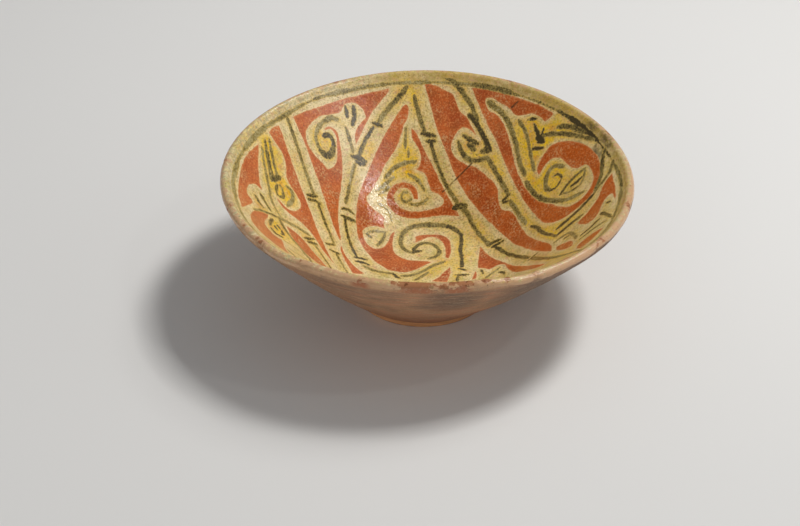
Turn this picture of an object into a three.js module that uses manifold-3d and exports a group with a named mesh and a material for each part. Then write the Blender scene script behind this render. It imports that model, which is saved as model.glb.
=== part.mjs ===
// A slip-painted earthenware bowl: a thrown conical clay wall on a low disc foot, lined with a
// cream slip, painted with dark line work and red slip fields, and sealed by a clear glaze.
// Millimetres, +Z up. The origin is the middle of the foot's resting plane.
import * as THREE from 'three';
import { mergeVertices } from 'three/addons/utils/BufferGeometryUtils.js';
import Module from 'manifold-3d';

const wasm = await Module();
wasm.setup();

// Driving dimensions of the clay
const RIM_RADIUS = 100; // widest point of the clay, at the lip
const BOWL_HEIGHT = 68.2; // resting plane to the top of the glazed lip
const LIP_RADIUS = 2.3; // half the clay's thickness at the rounded lip
const WALL_THICKNESS = 5.3; // clay, square to the wall, where it meets the floor
const WALL_BOW = 2.7; // how far the outside swells past a straight cone
const INSIDE_BOW = 0.5; // the same for the inside
const FLOOR_THICKNESS = 3.6; // clay between the foot and the slip lining
const FLOOR_BLEND = 17; // reach of the curve from floor to wall, on each side
const FOOT_RADIUS = 34; // at the resting plane
const FOOT_TOP_RADIUS = 36.8; // where the foot meets the wall
const FOOT_HEIGHT = 4.6;
const FOOT_EDGE = 0.7; // worn bevel round the resting ring
const RECESS_RADIUS = 22; // shallow hollow under the foot
const RECESS_DEPTH = 1.2;
const RECESS_SLOPE = 0.9;

// Coats laid over the inside, each seated on the one below
const SLIP_THICKNESS = 0.4;
const PAINT_THICKNESS = 0.3;
const GLAZE_THICKNESS = 0.25;
const SEAT = 0.1; // clearance between two layers
const COATS = SLIP_THICKNESS + PAINT_THICKNESS + GLAZE_THICKNESS + 3 * SEAT;

// The ring drawn round the inside, just below the lip
const RIM_LINE_RADIUS = 93.7;
const RIM_LINE_WIDTH = 1.6;

// Ornament points are written for this rim radius, and follow the rim when it changes
const DRAWN_RIM = 100;
const SCALE = RIM_RADIUS / DRAWN_RIM;
const LINE_TAPER = 0.6; // share of a brush line's width left at its two ends

// Facets
const TURNS = 40; // steps round the axis, shared by every layer so that they stay parallel
const WALL_STEPS = 3;
const OUTSIDE_STEPS = 5;
const BLEND_STEPS = 3;
const LIP_STEPS = 4;
const CROWN_STEPS = 2; // of the lip's steps, those that the coats cover
const WELD = 1e-4; // corners nearer than this are one

// Finishes
const finish = (color, roughness) => new THREE.MeshStandardMaterial({ color, roughness, metalness: 0 });
const CLAY = () => finish(0xb98a66, 0.9);
const FOOT_CLAY = () => finish(0xa8643f, 0.9);
const CREAM = () => finish(0xd8c48a, 0.45);
const RED = () => finish(0xb0502c, 0.4);
const DARK = () => finish(0x5c5230, 0.4);
const GLAZE = () => {
  const clear = finish(0xe6dcb8, 0.15);
  clear.transparent = true;
  clear.opacity = 0.2;
  return clear;
};

const point = (x, y) => new THREE.Vector2(x, y);

// Section of the bowl, in radius and height

const lipCentre = point(RIM_RADIUS - LIP_RADIUS, BOWL_HEIGHT - COATS - LIP_RADIUS);
const wallFoot = point(FOOT_TOP_RADIUS, FOOT_HEIGHT + SEAT);
const upWall = lipCentre.clone().sub(wallFoot).normalize();
const intoBowl = point(-upWall.y, upWall.x);
const lipOuter = lipCentre.clone().addScaledVector(intoBowl, -LIP_RADIUS);
const lipInner = lipCentre.clone().addScaledVector(intoBowl, LIP_RADIUS);

/** Outside of the wall from foot to lip, swelling a little between them. */
function outerWall() {
  const middle = wallFoot.clone().add(lipOuter).multiplyScalar(0.5);
  middle.addScaledVector(intoBowl, -2 * WALL_BOW);
  return new THREE.QuadraticBezierCurve(wallFoot, middle, lipOuter).getPoints(OUTSIDE_STEPS);
}

/** Round of the lip from the outside of the wall to the inside. */
function lipRound() {
  const start = Math.atan2(-intoBowl.y, -intoBowl.x);
  const arc = new THREE.EllipseCurve(
    lipCentre.x, lipCentre.y, LIP_RADIUS, LIP_RADIUS, start, start + Math.PI, false, 0,
  );
  return arc.getPoints(LIP_STEPS);
}

/** Inside of the clay from the axis, over the floor and its blend, up to the lip. */
function innerSurface() {
  const floor = FOOT_HEIGHT + SEAT + FLOOR_THICKNESS;
  const low = wallFoot.clone().addScaledVector(intoBowl, WALL_THICKNESS);
  const slope = lipInner.clone().sub(low).normalize();
  const corner = low.clone().addScaledVector(slope, (floor - low.y) / slope.y);
  const floorEnd = point(corner.x - FLOOR_BLEND, floor);
  const wallStart = corner.clone().addScaledVector(slope, FLOOR_BLEND);
  const blend = new THREE.QuadraticBezierCurve(floorEnd, corner, wallStart).getPoints(BLEND_STEPS);
  const middle = wallStart.clone().add(lipInner).multiplyScalar(0.5);
  middle.addScaledVector(intoBowl, -2 * INSIDE_BOW);
  const wall = new THREE.QuadraticBezierCurve(wallStart, middle, lipInner).getPoints(WALL_STEPS);
  return [point(0, floor), ...blend, ...wall.slice(1)];
}

/** The inside carried on over the lip's crown, which the slip and the glaze cover. */
function coatedSurface() {
  const crown = lipRound().reverse().slice(1, 1 + CROWN_STEPS);
  return [...innerSurface(), ...crown];
}

/** A section moved square to itself by the same distance all along. */
function raised(section, distance) {
  return section.map((spot, i) => {
    if (i === 0) {
      return point(0, spot.y + distance);
    }
    const before = spot.clone().sub(section[i - 1]).normalize();
    const after = i + 1 < section.length ? section[i + 1].clone().sub(spot).normalize() : before;
    const way = before.clone().add(after).normalize();
    const square = point(-way.y, way.x);
    return spot.clone().addScaledVector(square, distance / before.dot(way));
  });
}

/** Closed lathe solid between two heights over one section. */
function coat(section, base, thickness) {
  const under = raised(section, base);
  const over = raised(section, base + thickness);
  return new THREE.LatheGeometry([...under, ...over.reverse()], TURNS);
}

const SLIP_BASE = SEAT;
const PAINT_BASE = SLIP_BASE + SLIP_THICKNESS + SEAT;
const GLAZE_BASE = PAINT_BASE + PAINT_THICKNESS + SEAT;

// Booleans between closed meshes

/** Closed solid from a geometry, its seams welded. */
function solid(geometry) {
  const bare = geometry.clone();
  bare.deleteAttribute('normal');
  bare.deleteAttribute('uv');
  const merged = mergeVertices(bare, WELD);
  const corners = [];
  const index = merged.index.array;
  for (let i = 0; i < index.length; i += 3) {
    const [a, b, c] = [index[i], index[i + 1], index[i + 2]];
    if (a !== b && b !== c && c !== a) {
      corners.push(a, b, c);
    }
  }
  return new wasm.Manifold(new wasm.Mesh({
    numProp: 3,
    vertProperties: new Float32Array(merged.attributes.position.array),
    triVerts: new Uint32Array(corners),
  }));
}

/** Drawable geometry of a closed solid. */
function geometryOf(manifold) {
  const mesh = manifold.getMesh();
  const geometry = new THREE.BufferGeometry();
  geometry.setAttribute('position', new THREE.BufferAttribute(mesh.vertProperties, mesh.numProp));
  geometry.setIndex(new THREE.BufferAttribute(mesh.triVerts, 1));
  geometry.computeVertexNormals();
  return geometry;
}

/** Upright prism, taller than the bowl, over a plan shape. */
function prism(shape, curveSegments = 1) {
  const depth = 2 * BOWL_HEIGHT;
  return solid(new THREE.ExtrudeGeometry(shape, { depth, bevelEnabled: false, curveSegments }));
}

const plan = ([x, y]) => point(x, y).multiplyScalar(SCALE);
const turned = (points) => points.map(([x, y, corner]) => [-x, -y, corner]);

/** Closed outline of smooth runs that meet at the points marked as corners. */
function outline(points) {
  const first = points.findIndex(([, , corner]) => corner);
  const round = [...points.slice(first), ...points.slice(0, first + 1)];
  const shape = new THREE.Shape();
  shape.moveTo(...plan(round[0]));
  let run = [];
  for (const spot of round.slice(1)) {
    run.push(plan(spot));
    if (spot[2]) {
      shape.splineThru(run);
      run = [];
    }
  }
  return shape;
}

/** One brush line: a ribbon along a smooth path, thinner at its two ends. */
function ribbon(width, points) {
  const path = points.map(plan);
  const curve = new THREE.SplineCurve(path);
  const steps = path.length - 1;
  const left = [];
  const right = [];
  for (let i = 0; i <= steps; i += 1) {
    const spot = curve.getPoint(i / steps);
    const way = curve.getTangent(i / steps);
    const half = (width / 2) * SCALE * (i === 0 || i === steps ? LINE_TAPER : 1);
    left.push(point(spot.x - way.y * half, spot.y + way.x * half));
    right.push(point(spot.x + way.y * half, spot.y - way.x * half));
  }
  return new THREE.Shape([...left, ...right.reverse()]);
}

// Red slip, painted round the lines and leaves. A third number marks a corner.
const redFields = {
  red_left_upper: [
    [-19.5, 90.2, 1], [-21.5, 87.2, 1], [-26, 82.5], [-29.5, 78], [-32.3, 73], [-34.6, 68.3],
    [-36.8, 64, 1], [-37.2, 68.5], [-35.5, 72.5], [-31.6, 76.6, 1], [-34, 79.6], [-38, 80.6],
    [-42.5, 78.4], [-44.8, 74.6], [-49, 71.9], [-53, 70], [-56.5, 67.2], [-59.5, 63], [-61.6, 58.5],
    [-61, 54], [-57.5, 50.8], [-53, 48.8], [-50.4, 47.4, 1], [-47.6, 50.4], [-46.2, 54.5],
    [-46.4, 59.5], [-47, 64], [-49.5, 65.7], [-53, 63.6, 1], [-50.5, 66.6], [-46.8, 66.2],
    [-44.8, 62.5], [-43.6, 57], [-43, 50], [-43.6, 43], [-44.5, 36], [-44.6, 29], [-44, 22.5],
    [-42.9, 17], [-43.8, 15.8], [-46.5, 20.5], [-49.5, 27], [-53, 34.5], [-57, 42.8], [-61, 50.3],
    [-65.5, 57.2], [-68.6, 61.4, 1], [-62, 67.5], [-54.5, 73.4], [-46.5, 78.7], [-38, 83.2], [-29, 87],
  ],
  red_left_lower: [
    [-42.6, 13.6], [-41.2, 9.4], [-38.2, 5.6], [-35, 2.4], [-30.4, -0.8, 1], [-33.4, -2.6],
    [-36.6, -4, 1], [-38.8, 0.2], [-41.2, 5], [-43.2, 10.4],
  ],
  red_left_middle: [
    [-75, 53, 1], [-72.6, 48.8], [-69.6, 42.6], [-66.6, 36.4], [-63.4, 30], [-60, 23.4], [-57, 17.4],
    [-54.2, 11], [-51, 4.8], [-48.2, -0.6], [-45.2, -5.8, 1], [-50, -2.4], [-53.6, 1.6], [-56, 4.4],
    [-60, 6.8], [-64.5, 7.4], [-69, 7], [-72.4, 8.2], [-75, 11.8, 1], [-71.8, 10.2], [-68.2, 9.8],
    [-65.2, 12.8], [-63.2, 17], [-63.4, 20.4], [-65.8, 23.4], [-68.4, 25.8], [-70.6, 29],
    [-71, 33.4], [-71.6, 37.4], [-73.6, 40.8], [-76.6, 43], [-79.8, 45.6, 1], [-77.8, 49.6],
  ],
  red_left_rim: [
    [-85, 35.6, 1], [-84, 30], [-84.2, 23], [-84.6, 17], [-83.6, 12], [-85.4, 8.4], [-87.5, 3.2],
    [-88, -1.4], [-86.6, -5.4], [-85, -9.2], [-86.4, -14], [-88.2, -19], [-89.2, -23.4, 1],
    [-90.6, -14.4], [-91.4, -4.8], [-91.3, 5], [-90.2, 15], [-88, 25.6],
  ],
  red_left_front: [
    [-77, -8.6, 1], [-80.4, -11.8], [-83, -16], [-84.3, -22], [-84.4, -28], [-82.8, -35],
    [-78.6, -42.4], [-73, -48], [-68, -51.4], [-64.2, -51.6, 1], [-65.8, -45], [-67.6, -38],
    [-68.6, -31.6], [-69.6, -27.2], [-72.4, -28.4], [-75.4, -26.8], [-77.7, -23.2], [-78.1, -18.4],
    [-77.2, -13.4],
  ],
  red_left_branch: [
    [-69.2, -5.4, 1], [-64.4, -4.6], [-60.4, -5.6], [-57.4, -8.2], [-53.6, -11.4], [-50, -14.4],
    [-47.8, -18.2, 1], [-52, -21], [-57.6, -20.2], [-62, -16.8], [-65.4, -13],
  ],
  red_middle_left: [
    [-11.6, 85.4], [-14.6, 82.4], [-18.6, 77.4], [-22.4, 71.6], [-26, 65], [-28.8, 59.4],
    [-31.2, 53.8], [-33.8, 47.4], [-35.4, 41], [-36, 35], [-35.8, 29], [-34.6, 23.6], [-31.8, 18.8],
    [-28.6, 14.4], [-25.6, 10], [-22, 6], [-18.8, 2.8], [-14.6, 1.4], [-10.4, 1], [-6.4, 2.8],
    [-2.4, 5.8], [1, 9], [3.2, 10.6, 1], [-0.4, 11.4], [-4.6, 11.8], [-9, 12.2], [-13, 14.8],
    [-15.8, 18.4], [-16.9, 23], [-17.1, 28], [-16.2, 34.2, 1], [-18.6, 31.4], [-19.6, 27.4],
    [-22, 23], [-25.4, 21], [-29, 21.8], [-31.6, 25], [-32.4, 28.6, 1], [-29.6, 32], [-25.4, 34.2],
    [-22.6, 35.2, 1], [-26.4, 37.2], [-30.2, 39.4], [-32, 42], [-30.8, 45.4], [-28, 48.6],
    [-25.4, 53], [-22.4, 58.8], [-19.6, 63], [-17, 66.6], [-14.8, 70.2], [-13.2, 74.4],
    [-12.2, 77.4], [-10.2, 80.4], [-9.8, 83.8],
  ],
  red_middle_right: [
    [-8.8, 77.2, 1], [-6, 75.2], [-3.8, 72.4], [-1.2, 68.4], [1.4, 64.6], [4.2, 60.6], [6.6, 56.8],
    [9.2, 52.8], [11.8, 49], [14.4, 45.6], [17.2, 41.2, 1], [13.2, 42], [8.6, 42.9], [3.6, 42.9],
    [-2, 42.2], [-7.6, 41.2], [-13, 41.4], [-17, 43.6, 1], [-13, 46.2], [-8, 46.8], [-2, 46],
    [3.6, 46.3], [7.4, 47.3], [8.4, 49.2], [5.6, 51.4], [2.2, 52.7], [0.8, 55.4], [-0.6, 58.6],
    [-3, 60.2], [-6.2, 60.8, 1], [-4.2, 62.6], [-3.4, 65.4], [-4.2, 68.2], [-6.2, 70.6], [-8.2, 73.4],
  ],
  red_palmette_eye: [
    [-20, 46.6, 1], [-19.4, 49.8], [-16.8, 52.8], [-13.2, 54.9], [-9.4, 55], [-6.4, 53.4],
    [-4.8, 50.6, 1], [-7.6, 50], [-9.4, 52], [-12.4, 52.6], [-15.2, 50.6], [-17.2, 48],
  ],
  red_scroll_crescent: [
    [-6.1, 32.6, 1], [-2.4, 33.8], [2.4, 34.2], [7, 33.7], [10.4, 31.8], [12.1, 28.4], [12.5, 23.4],
    [12.1, 17.8], [11.2, 13.8, 1], [9.5, 15], [9.5, 19], [9.2, 23.6], [8.2, 28], [5.6, 31.2],
    [1.8, 32.2], [-2, 30.4], [-5.8, 28, 1], [-5.8, 30.2],
  ],
  red_centre_wedge: [
    [11.8, 6.2, 1], [12.2, 1.6], [11.4, -3], [10.4, -7.4, 1], [6.2, -7.2], [2.4, -6.8, 1], [6, -3],
    [8.4, 1],
  ],
  red_stem_right: [
    [27.2, 23.4, 1], [29.2, 19], [31.8, 14.6], [34.8, 10.4], [37.8, 7], [40.4, 3.2], [43.2, -1.4],
    [46.2, -6.2], [49.2, -11.4], [52.4, -17.6], [55.2, -23.8], [57.6, -30.6, 1], [54.2, -27.4],
    [50, -20.4], [46, -13.6], [42.6, -7.6], [40.6, -2.4], [38.8, 3.2], [36, 5.1], [33.6, 4.1],
    [31, 3.5], [28.8, 5], [25.6, 5.2, 1], [25.8, 10], [26.2, 16],
  ],
  red_right_middle: [
    [-1.6, 92.4, 1], [3, 92], [8.6, 91.4], [12.9, 89.8, 1], [14.4, 86], [17, 82.6], [19.8, 79.8],
    [22.4, 76.4], [24.8, 72.8], [26.2, 70.2, 1], [23.4, 73.4], [20.2, 75.6], [16.6, 75.6], [13.7, 73],
    [12.4, 69.4], [13.6, 66.2], [16.6, 63.6], [20.4, 61.4], [24.4, 59.8], [28, 57], [31.4, 53.6],
    [34.2, 50.4], [36, 46.6], [36.3, 42], [38, 36.8], [42, 33.8], [44.6, 29.6], [46.8, 23.6],
    [49, 17.4], [51.4, 11.8], [54.4, 6.2], [57.6, 0], [60.2, -5.6], [61.4, -11.6], [60.8, -16.6, 1],
    [58.6, -12.6], [55.8, -7.4], [52.6, -1.2], [49, 5.6], [45.4, 11.6], [41.6, 18], [37.4, 25.4],
    [33, 32], [28, 38.8], [23.2, 45], [18.8, 50.8], [15, 56.8], [11.6, 63.2], [8.4, 69.6], [5.4, 75.2],
    [3, 80.6], [0.8, 86.6],
  ],
  red_right_ring: [
    [22.4, 89.8, 1], [30, 87.2], [37.6, 84.1], [45, 80.2], [52, 75.6], [58.4, 70.6], [64.6, 65.2, 1],
    [59.8, 65.6], [57.4, 69], [54, 72], [49.2, 73.4], [45, 75.4], [41.6, 78.6], [37.4, 81.8],
    [32.8, 84.6], [29.8, 84.8], [31.4, 80.8], [35.6, 78], [39, 73.4], [41.4, 67.8], [43.2, 61.4],
    [44.6, 54.8], [46.6, 48.4], [49.2, 42], [52, 36.2], [55.4, 30.6], [59.2, 25.8], [62.8, 21.6],
    [66.4, 16.8], [70, 12.6], [73.8, 10.7], [77.4, 11.2], [80.4, 13.6], [82, 17.6], [81.8, 22.4],
    [80.6, 27.4], [78.6, 31], [75.4, 32], [72.6, 34.2], [70.4, 38], [68.4, 41.8], [65.8, 45.2],
    [62.4, 46.7], [59, 45], [56.4, 42.4, 1], [55.6, 46.2], [58, 50.4], [62, 53.2], [66.4, 52.8],
    [71, 50.3], [75.4, 46.6], [79.4, 42], [82.4, 36.8], [84.6, 31], [85.8, 24.6], [85.7, 18.4],
    [84.2, 12.4], [80.6, 8], [75.6, 6.2], [70.4, 5.8], [65.6, 7], [61.6, 10], [58.2, 13.8],
    [55.4, 19.6], [52.6, 26.2], [49.8, 32.6], [46.8, 39.4], [43.8, 46.2], [41, 53.2], [38, 60.2],
    [35.2, 66.8], [31.6, 73.2], [28.4, 79.4], [25.4, 85],
  ],
  red_right_rim: [
    [90.9, 12.8, 1], [91.3, 6], [91.6, -1], [91.4, -8], [90.2, -16, 1], [90.5, -9.6], [89.6, -4.2],
    [87, -4.6], [84.9, -8], [83.2, -12.8], [80.8, -16], [77.6, -15.8], [75.4, -12.4], [73, -6.6, 1],
    [77.4, -5], [80.6, -2], [83.4, 1], [84.9, 5], [87, 9],
  ],
  red_right_leaf: [
    [63, -15.2, 1], [66.4, -17.8], [69.2, -21], [70.6, -25.4], [70, -31, 1], [67.2, -29.2],
    [64.8, -25], [63, -20.2],
  ],
  red_right_front: [
    [72.4, -37, 1], [76, -35.5], [80.4, -35.4], [84, -36.6, 1], [81.2, -41.4], [77, -47],
    [72.4, -51.8, 1], [71, -46.2], [71.2, -41],
  ],
  red_front_strip: [
    [-51.5, -25, 1], [-48.6, -27.4], [-47.4, -33], [-44.8, -41], [-40.6, -51.6], [-36.6, -61.4],
    [-34.4, -68], [-30.6, -75], [-27, -81.4], [-23.8, -88.4, 1], [-33, -86], [-42, -81.6],
    [-51, -76.2], [-59.6, -69.6], [-66, -62.8, 1], [-60, -64], [-53.6, -69], [-47, -74],
    [-40.6, -79.6], [-34.6, -84.8], [-31.6, -84.8], [-32.6, -80.4], [-36.6, -76], [-40, -69],
    [-42, -61], [-44.4, -51], [-47.8, -41], [-51.4, -32],
  ],
  red_front_left: [
    [1.6, -92.4, 1], [-3, -92], [-8.6, -91.4], [-12.9, -89.8, 1], [-14.4, -86], [-17, -82.6],
    [-19.8, -79.8], [-22.4, -76.4], [-24.8, -72.8], [-26.2, -70.2, 1], [-23.4, -73.4],
    [-20.2, -75.6], [-16.6, -75.6], [-13.7, -73], [-12.4, -69.4], [-13.6, -66.2], [-16.6, -63.6],
    [-20.4, -61.4], [-24.4, -59.8], [-28, -57], [-31.4, -53.6], [-34.2, -50], [-36.4, -44],
    [-38.2, -37], [-39.8, -30], [-40.8, -23], [-41.2, -16, 1], [-38.6, -22], [-36.4, -27], [-33, -32],
    [-28, -38.8], [-23.2, -45], [-18.8, -50.8], [-15, -56.8], [-11.6, -63.2], [-8.4, -69.6],
    [-5.4, -75.2], [-3, -80.6], [-0.8, -86.6],
  ],
  red_front_middle: [
    [11.6, -85.4], [14.6, -82.4], [18.6, -77.4], [22.4, -71.6], [26, -65], [28.8, -59.4],
    [31.2, -53.8], [33.8, -47.4], [35.4, -41], [36, -35], [35.6, -28], [34.2, -21], [31.6, -14.6],
    [28.4, -11, 1], [20, -10], [12, -9.6], [4, -9.6], [-3.2, -10.6, 1], [0.4, -11.8], [4.6, -12],
    [9, -12.4], [13, -14.8], [15.8, -18.4], [16.9, -23], [17.1, -28], [16.2, -34.2, 1],
    [18.6, -31.4], [19.6, -27.4], [22, -23], [25.4, -21], [29, -21.8], [31.6, -25], [32.4, -28.6, 1],
    [29.6, -32], [25.4, -34.2], [22.6, -35.2, 1], [26.4, -37.2], [30.2, -39.4], [32, -42],
    [30.8, -45.4], [28, -48.6], [25.4, -53], [22.4, -58.8], [19.6, -63], [17, -66.6], [14.8, -70.2],
    [13.2, -74.4], [12.2, -77.4], [10.2, -80.4], [9.8, -83.8],
  ],
  red_front_wedge: [
    [-27.2, -23.4, 1], [-28.6, -18], [-30.8, -12.6], [-33, -7.6, 1], [-29.4, -7], [-26, -7.6, 1],
    [-25.8, -13], [-26.2, -18],
  ],
};
// The hidden front repeats these fields half a turn round
redFields.red_front_right = turned(redFields.red_left_upper);
redFields.red_front_inner = turned(redFields.red_middle_right);
redFields.red_front_eye = turned(redFields.red_palmette_eye);
redFields.red_front_crescent = turned(redFields.red_scroll_crescent);

// Dark brush work. Each line is a list of ribbons, given as a width and a path, that run together.
const darkLines = {
  line_left_straight: [
    [2, [
      [-69.8, 56.6], [-64.6, 46.4], [-58.4, 33.2], [-54.6, 26.2], [-48.8, 15.6], [-44.6, 5.4],
      [-39, -5.4], [-33, -19], [-26, -31.2], [-20.8, -41.4], [-13, -50.4], [-6, -61.6], [-1.4, -71],
      [3.2, -79], [7, -88],
    ]],
    [1.8, [[-60.2, 27.6], [-55.2, 31]]],
    [1.6, [[-50, 6.4], [-43.6, 9.4]]],
    [1.8, [[-38, -20.6], [-31.4, -20.2]]],
    [1.8, [[3, -75], [-4, -74]]],
  ],
  line_left_curved: [
    [1.9, [
      [-11.6, 90.6], [-18.6, 84.2], [-25.4, 77], [-31, 69], [-35, 60.4], [-38.6, 50.4], [-41, 38],
      [-41.4, 29.4], [-38.8, 19], [-34, 9.4], [-27, 2.8], [-18, -0.4], [-8.2, -1.8], [-0.6, 3.2],
      [9, 11],
    ]],
    [1.9, [[-28.6, 75.6], [-23.2, 75.4]]],
    [2, [[-39.2, 58.4], [-31.6, 58.4]]],
    [1.8, [[-43.2, 33.2], [-36.8, 33.8]]],
    [1.8, [[-36, 10.4], [-29.6, 9.4]]],
    [1.8, [[-16.6, 0.6], [-13, -4.6]]],
    [1.8, [[-42, 69.4], [-39.8, 65], [-38.2, 58.4]]],
  ],
  line_right_straight: [
    [2.1, [
      [-6.6, 88], [-3.2, 79], [-0.4, 73], [3.2, 67.4], [9.4, 55.4], [16.6, 46], [20.8, 41.4],
      [26, 31.2], [32.6, 21], [38.8, 13], [47, 1], [52.6, -8.6], [59.4, -24], [66, -40.4], [70.8, -55],
    ]],
    [1.9, [[-3.2, 74.4], [4, 73.4]]],
    [2.2, [[15.4, 45.3], [20.4, 44.8]]],
    [1.8, [[31, 21.6], [38, 21]]],
    [1.5, [[50, -7.2], [55, -6.6]]],
    [1.8, [[59, -30], [64.4, -28]]],
  ],
  line_right_curved: [
    [2.2, [
      [16, 90], [21.8, 85], [24.8, 79], [27.6, 72.8], [31.4, 65], [33.8, 56.8], [39.4, 46], [43, 37],
      [47.6, 26.4], [52.4, 17.6], [56.6, 10], [61.2, 1], [64, -4.8],
    ]],
    [2.1, [[16, 70.8], [17.6, 67], [20.6, 63.6], [25, 62], [32, 62.4]]],
    [1.6, [[38.2, 40], [42.6, 40.4]]],
  ],
  line_left_short: [
    [1.8, [
      [-56.4, -0.4], [-51.4, -6.4], [-47.4, -12.2], [-45.4, -18], [-44.2, -25], [-42.6, -34],
      [-39.4, -45], [-34, -56.4], [-31, -64], [-27.6, -72.8], [-22.6, -80.6], [-17, -88.6],
    ]],
    [1.6, [[-58.6, -3.8], [-54.2, 0.4]]],
    [2.1, [[-16, -70.8], [-17.6, -67], [-20.6, -63.6], [-25, -62], [-32, -62.4]]],
  ],
  line_front_curved: [
    [1.9, [
      [11.6, -90.6], [18.6, -84.2], [25.4, -77], [31, -69], [35, -60.4], [38.6, -50.4], [41, -38],
      [41.4, -29.4], [39.4, -20], [36.4, -12.6],
    ]],
    [1.9, [[28.6, -75.6], [23.2, -75.4]]],
    [2, [[39.2, -58.4], [31.6, -58.4]]],
    [1.8, [[43.2, -33.2], [36.8, -33.8]]],
    [1.8, [[42, -69.4], [39.8, -65], [38.2, -58.4]]],
  ],
  curl_left: [
    [2.2, [
      [-46.2, 71.2], [-50.4, 69.8], [-54.2, 66], [-56.6, 61], [-56.2, 56.6], [-53.6, 53.8],
      [-50.4, 53.6], [-48.4, 56.4], [-48.2, 60.4], [-50.2, 62.4], [-53, 61],
    ]],
  ],
  leaf_left_vein: [
    [2.2, [[-38.4, 79], [-37.6, 75.4], [-38.8, 71.4]]],
  ],
  palmette_left_stem: [
    [1.9, [
      [-82.4, 35], [-80.6, 25], [-78.4, 17], [-77.8, 9.4], [-75, 3], [-71.8, -2.6], [-70.2, -8.4],
      [-66.4, -14], [-62, -18.8], [-56.8, -23.8], [-55, -31], [-51.5, -40.6], [-46.2, -56.6],
      [-42.4, -69], [-34, -82],
    ]],
    [1.8, [
      [-58, 2.6], [-62.6, 1.4], [-67, -0.6], [-72, -3.2], [-77.2, -6.4], [-81, -10], [-84, -15],
    ]],
  ],
  palmette_left_vein: [
    [2.3, [[-79.6, 42], [-77.6, 36.4], [-75.6, 30], [-74.8, 23.6], [-72.8, 19], [-71.4, 15.4]]],
  ],
  palmette_left_bud: [
    [1.8, [[-68.4, 23.6], [-67.2, 19.4], [-69, 12.6]]],
  ],
  drop_leaf_vein: [
    [1.7, [[-75, -9.8], [-75.8, -14], [-75.8, -18.6], [-75, -21.8], [-72.6, -24], [-70, -22]]],
  ],
  palmette_middle_upper: [
    [1.8, [[-21.6, 55.4], [-17, 60], [-12, 62.8], [-6, 64]]],
  ],
  palmette_middle_lower: [
    [1.7, [
      [-25.6, 48.4], [-22.6, 52.6], [-18.6, 55], [-14.6, 58.6], [-9.6, 59], [-5.4, 57.4], [-1.4, 53.4],
    ]],
  ],
  scroll_middle: [
    [2.2, [
      [17.6, 6.6], [17.8, 14], [17.2, 21], [17.6, 28], [16.6, 33.4], [12.6, 37], [6, 39], [-3, 39],
      [-8.6, 37.2], [-12.4, 33], [-13, 27], [-11, 21.6], [-7, 18.8],
    ]],
    [2, [
      [-7.8, 18.4], [-6.2, 22.6], [-3.6, 26.4], [0.6, 27.6], [4.6, 25], [6.4, 20], [5, 15.8], [1, 13.4],
    ]],
  ],
  scroll_foot: [
    [1.8, [[14.4, -1], [21, -0.4]]],
    [1.8, [[15.8, -0.6], [15.4, -6.4]]],
  ],
  leaf_middle_vein: [
    [1.7, [[-24.8, 23.4], [-22, 28.4], [-21.4, 32.4]]],
    [1.6, [[-30.6, 28], [-27, 31], [-21.2, 32]]],
  ],
  curl_right_vein: [
    [2.1, [[18.6, 73], [22.2, 70.6], [25.2, 69]]],
  ],
  palmette_right_line: [
    [2.2, [
      [32.8, 82.5], [36.4, 79.9], [40, 75.4], [43.2, 68.8], [45.4, 61.6], [46.8, 54.6], [49.6, 45.4],
      [53.9, 37.3], [57.4, 31.6], [61.5, 26.6], [65.6, 22.2], [69.8, 18.2], [77, 14.8],
    ]],
  ],
  palmette_right_inner: [
    [1.8, [[46.4, 72], [49.4, 67.6], [51.4, 61], [52.6, 54], [54, 48]]],
  ],
  palmette_right_branch: [
    [2, [
      [54.4, 67.4], [56, 63], [59, 59.8], [65.4, 57], [70, 53.4], [75, 49.8], [79.4, 45], [81, 42.6],
    ]],
  ],
  palmette_right_eye: [
    [2, [[63.6, 42], [60.6, 39.6], [59.8, 35.4], [61.4, 31.8], [66, 31]]],
  ],
  palmette_right_lid: [
    [1.8, [[66.6, 24], [70.6, 27.4], [75, 29.2], [78.2, 27.6]]],
  ],
  branch_right_upper: [
    [1.9, [[65, 2.4], [70, 2.6], [76, 3.6]]],
  ],
  branch_right_lower: [
    [2, [[66.4, -3.6], [70, -3], [75.6, -2.6]]],
  ],
  leaf_right_stem: [
    [1.8, [[63.2, -8.6], [68.6, -9.8], [71, -15], [72.2, -24]]],
  ],
};
darkLines.curl_front = darkLines.curl_left.map(([width, path]) => [width, turned(path)]);
darkLines.scroll_front = darkLines.scroll_middle.map(([width, path]) => [width, turned(path)]);

// Assembly

const bowl = new THREE.Group();

function add(name, geometry, material) {
  const mesh = new THREE.Mesh(geometry, material);
  mesh.name = name;
  bowl.add(mesh);
}

/** Lathe about Z from a section in radius and height. */
const upright = (geometry) => geometry.rotateX(Math.PI / 2);

const bodySection = [
  point(0, wallFoot.y),
  ...outerWall(),
  ...lipRound().slice(1),
  ...innerSurface().reverse().slice(1),
];
add('clay_wall', upright(new THREE.LatheGeometry(bodySection, TURNS)), CLAY());

const footSection = [
  point(0, RECESS_DEPTH),
  point(RECESS_RADIUS - RECESS_SLOPE, RECESS_DEPTH),
  point(RECESS_RADIUS, 0),
  point(FOOT_RADIUS - FOOT_EDGE, 0),
  point(FOOT_RADIUS, FOOT_EDGE),
  point(FOOT_TOP_RADIUS, FOOT_HEIGHT),
  point(0, FOOT_HEIGHT),
];
add('foot_disc', upright(new THREE.LatheGeometry(footSection, TURNS)), FOOT_CLAY());

const lining = coatedSurface();
add('cream_slip', upright(coat(lining, SLIP_BASE, SLIP_THICKNESS)), CREAM());
add('clear_glaze', upright(coat(lining, GLAZE_BASE, GLAZE_THICKNESS)), GLAZE());

const paint = solid(upright(coat(innerSurface(), PAINT_BASE, PAINT_THICKNESS)));

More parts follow.
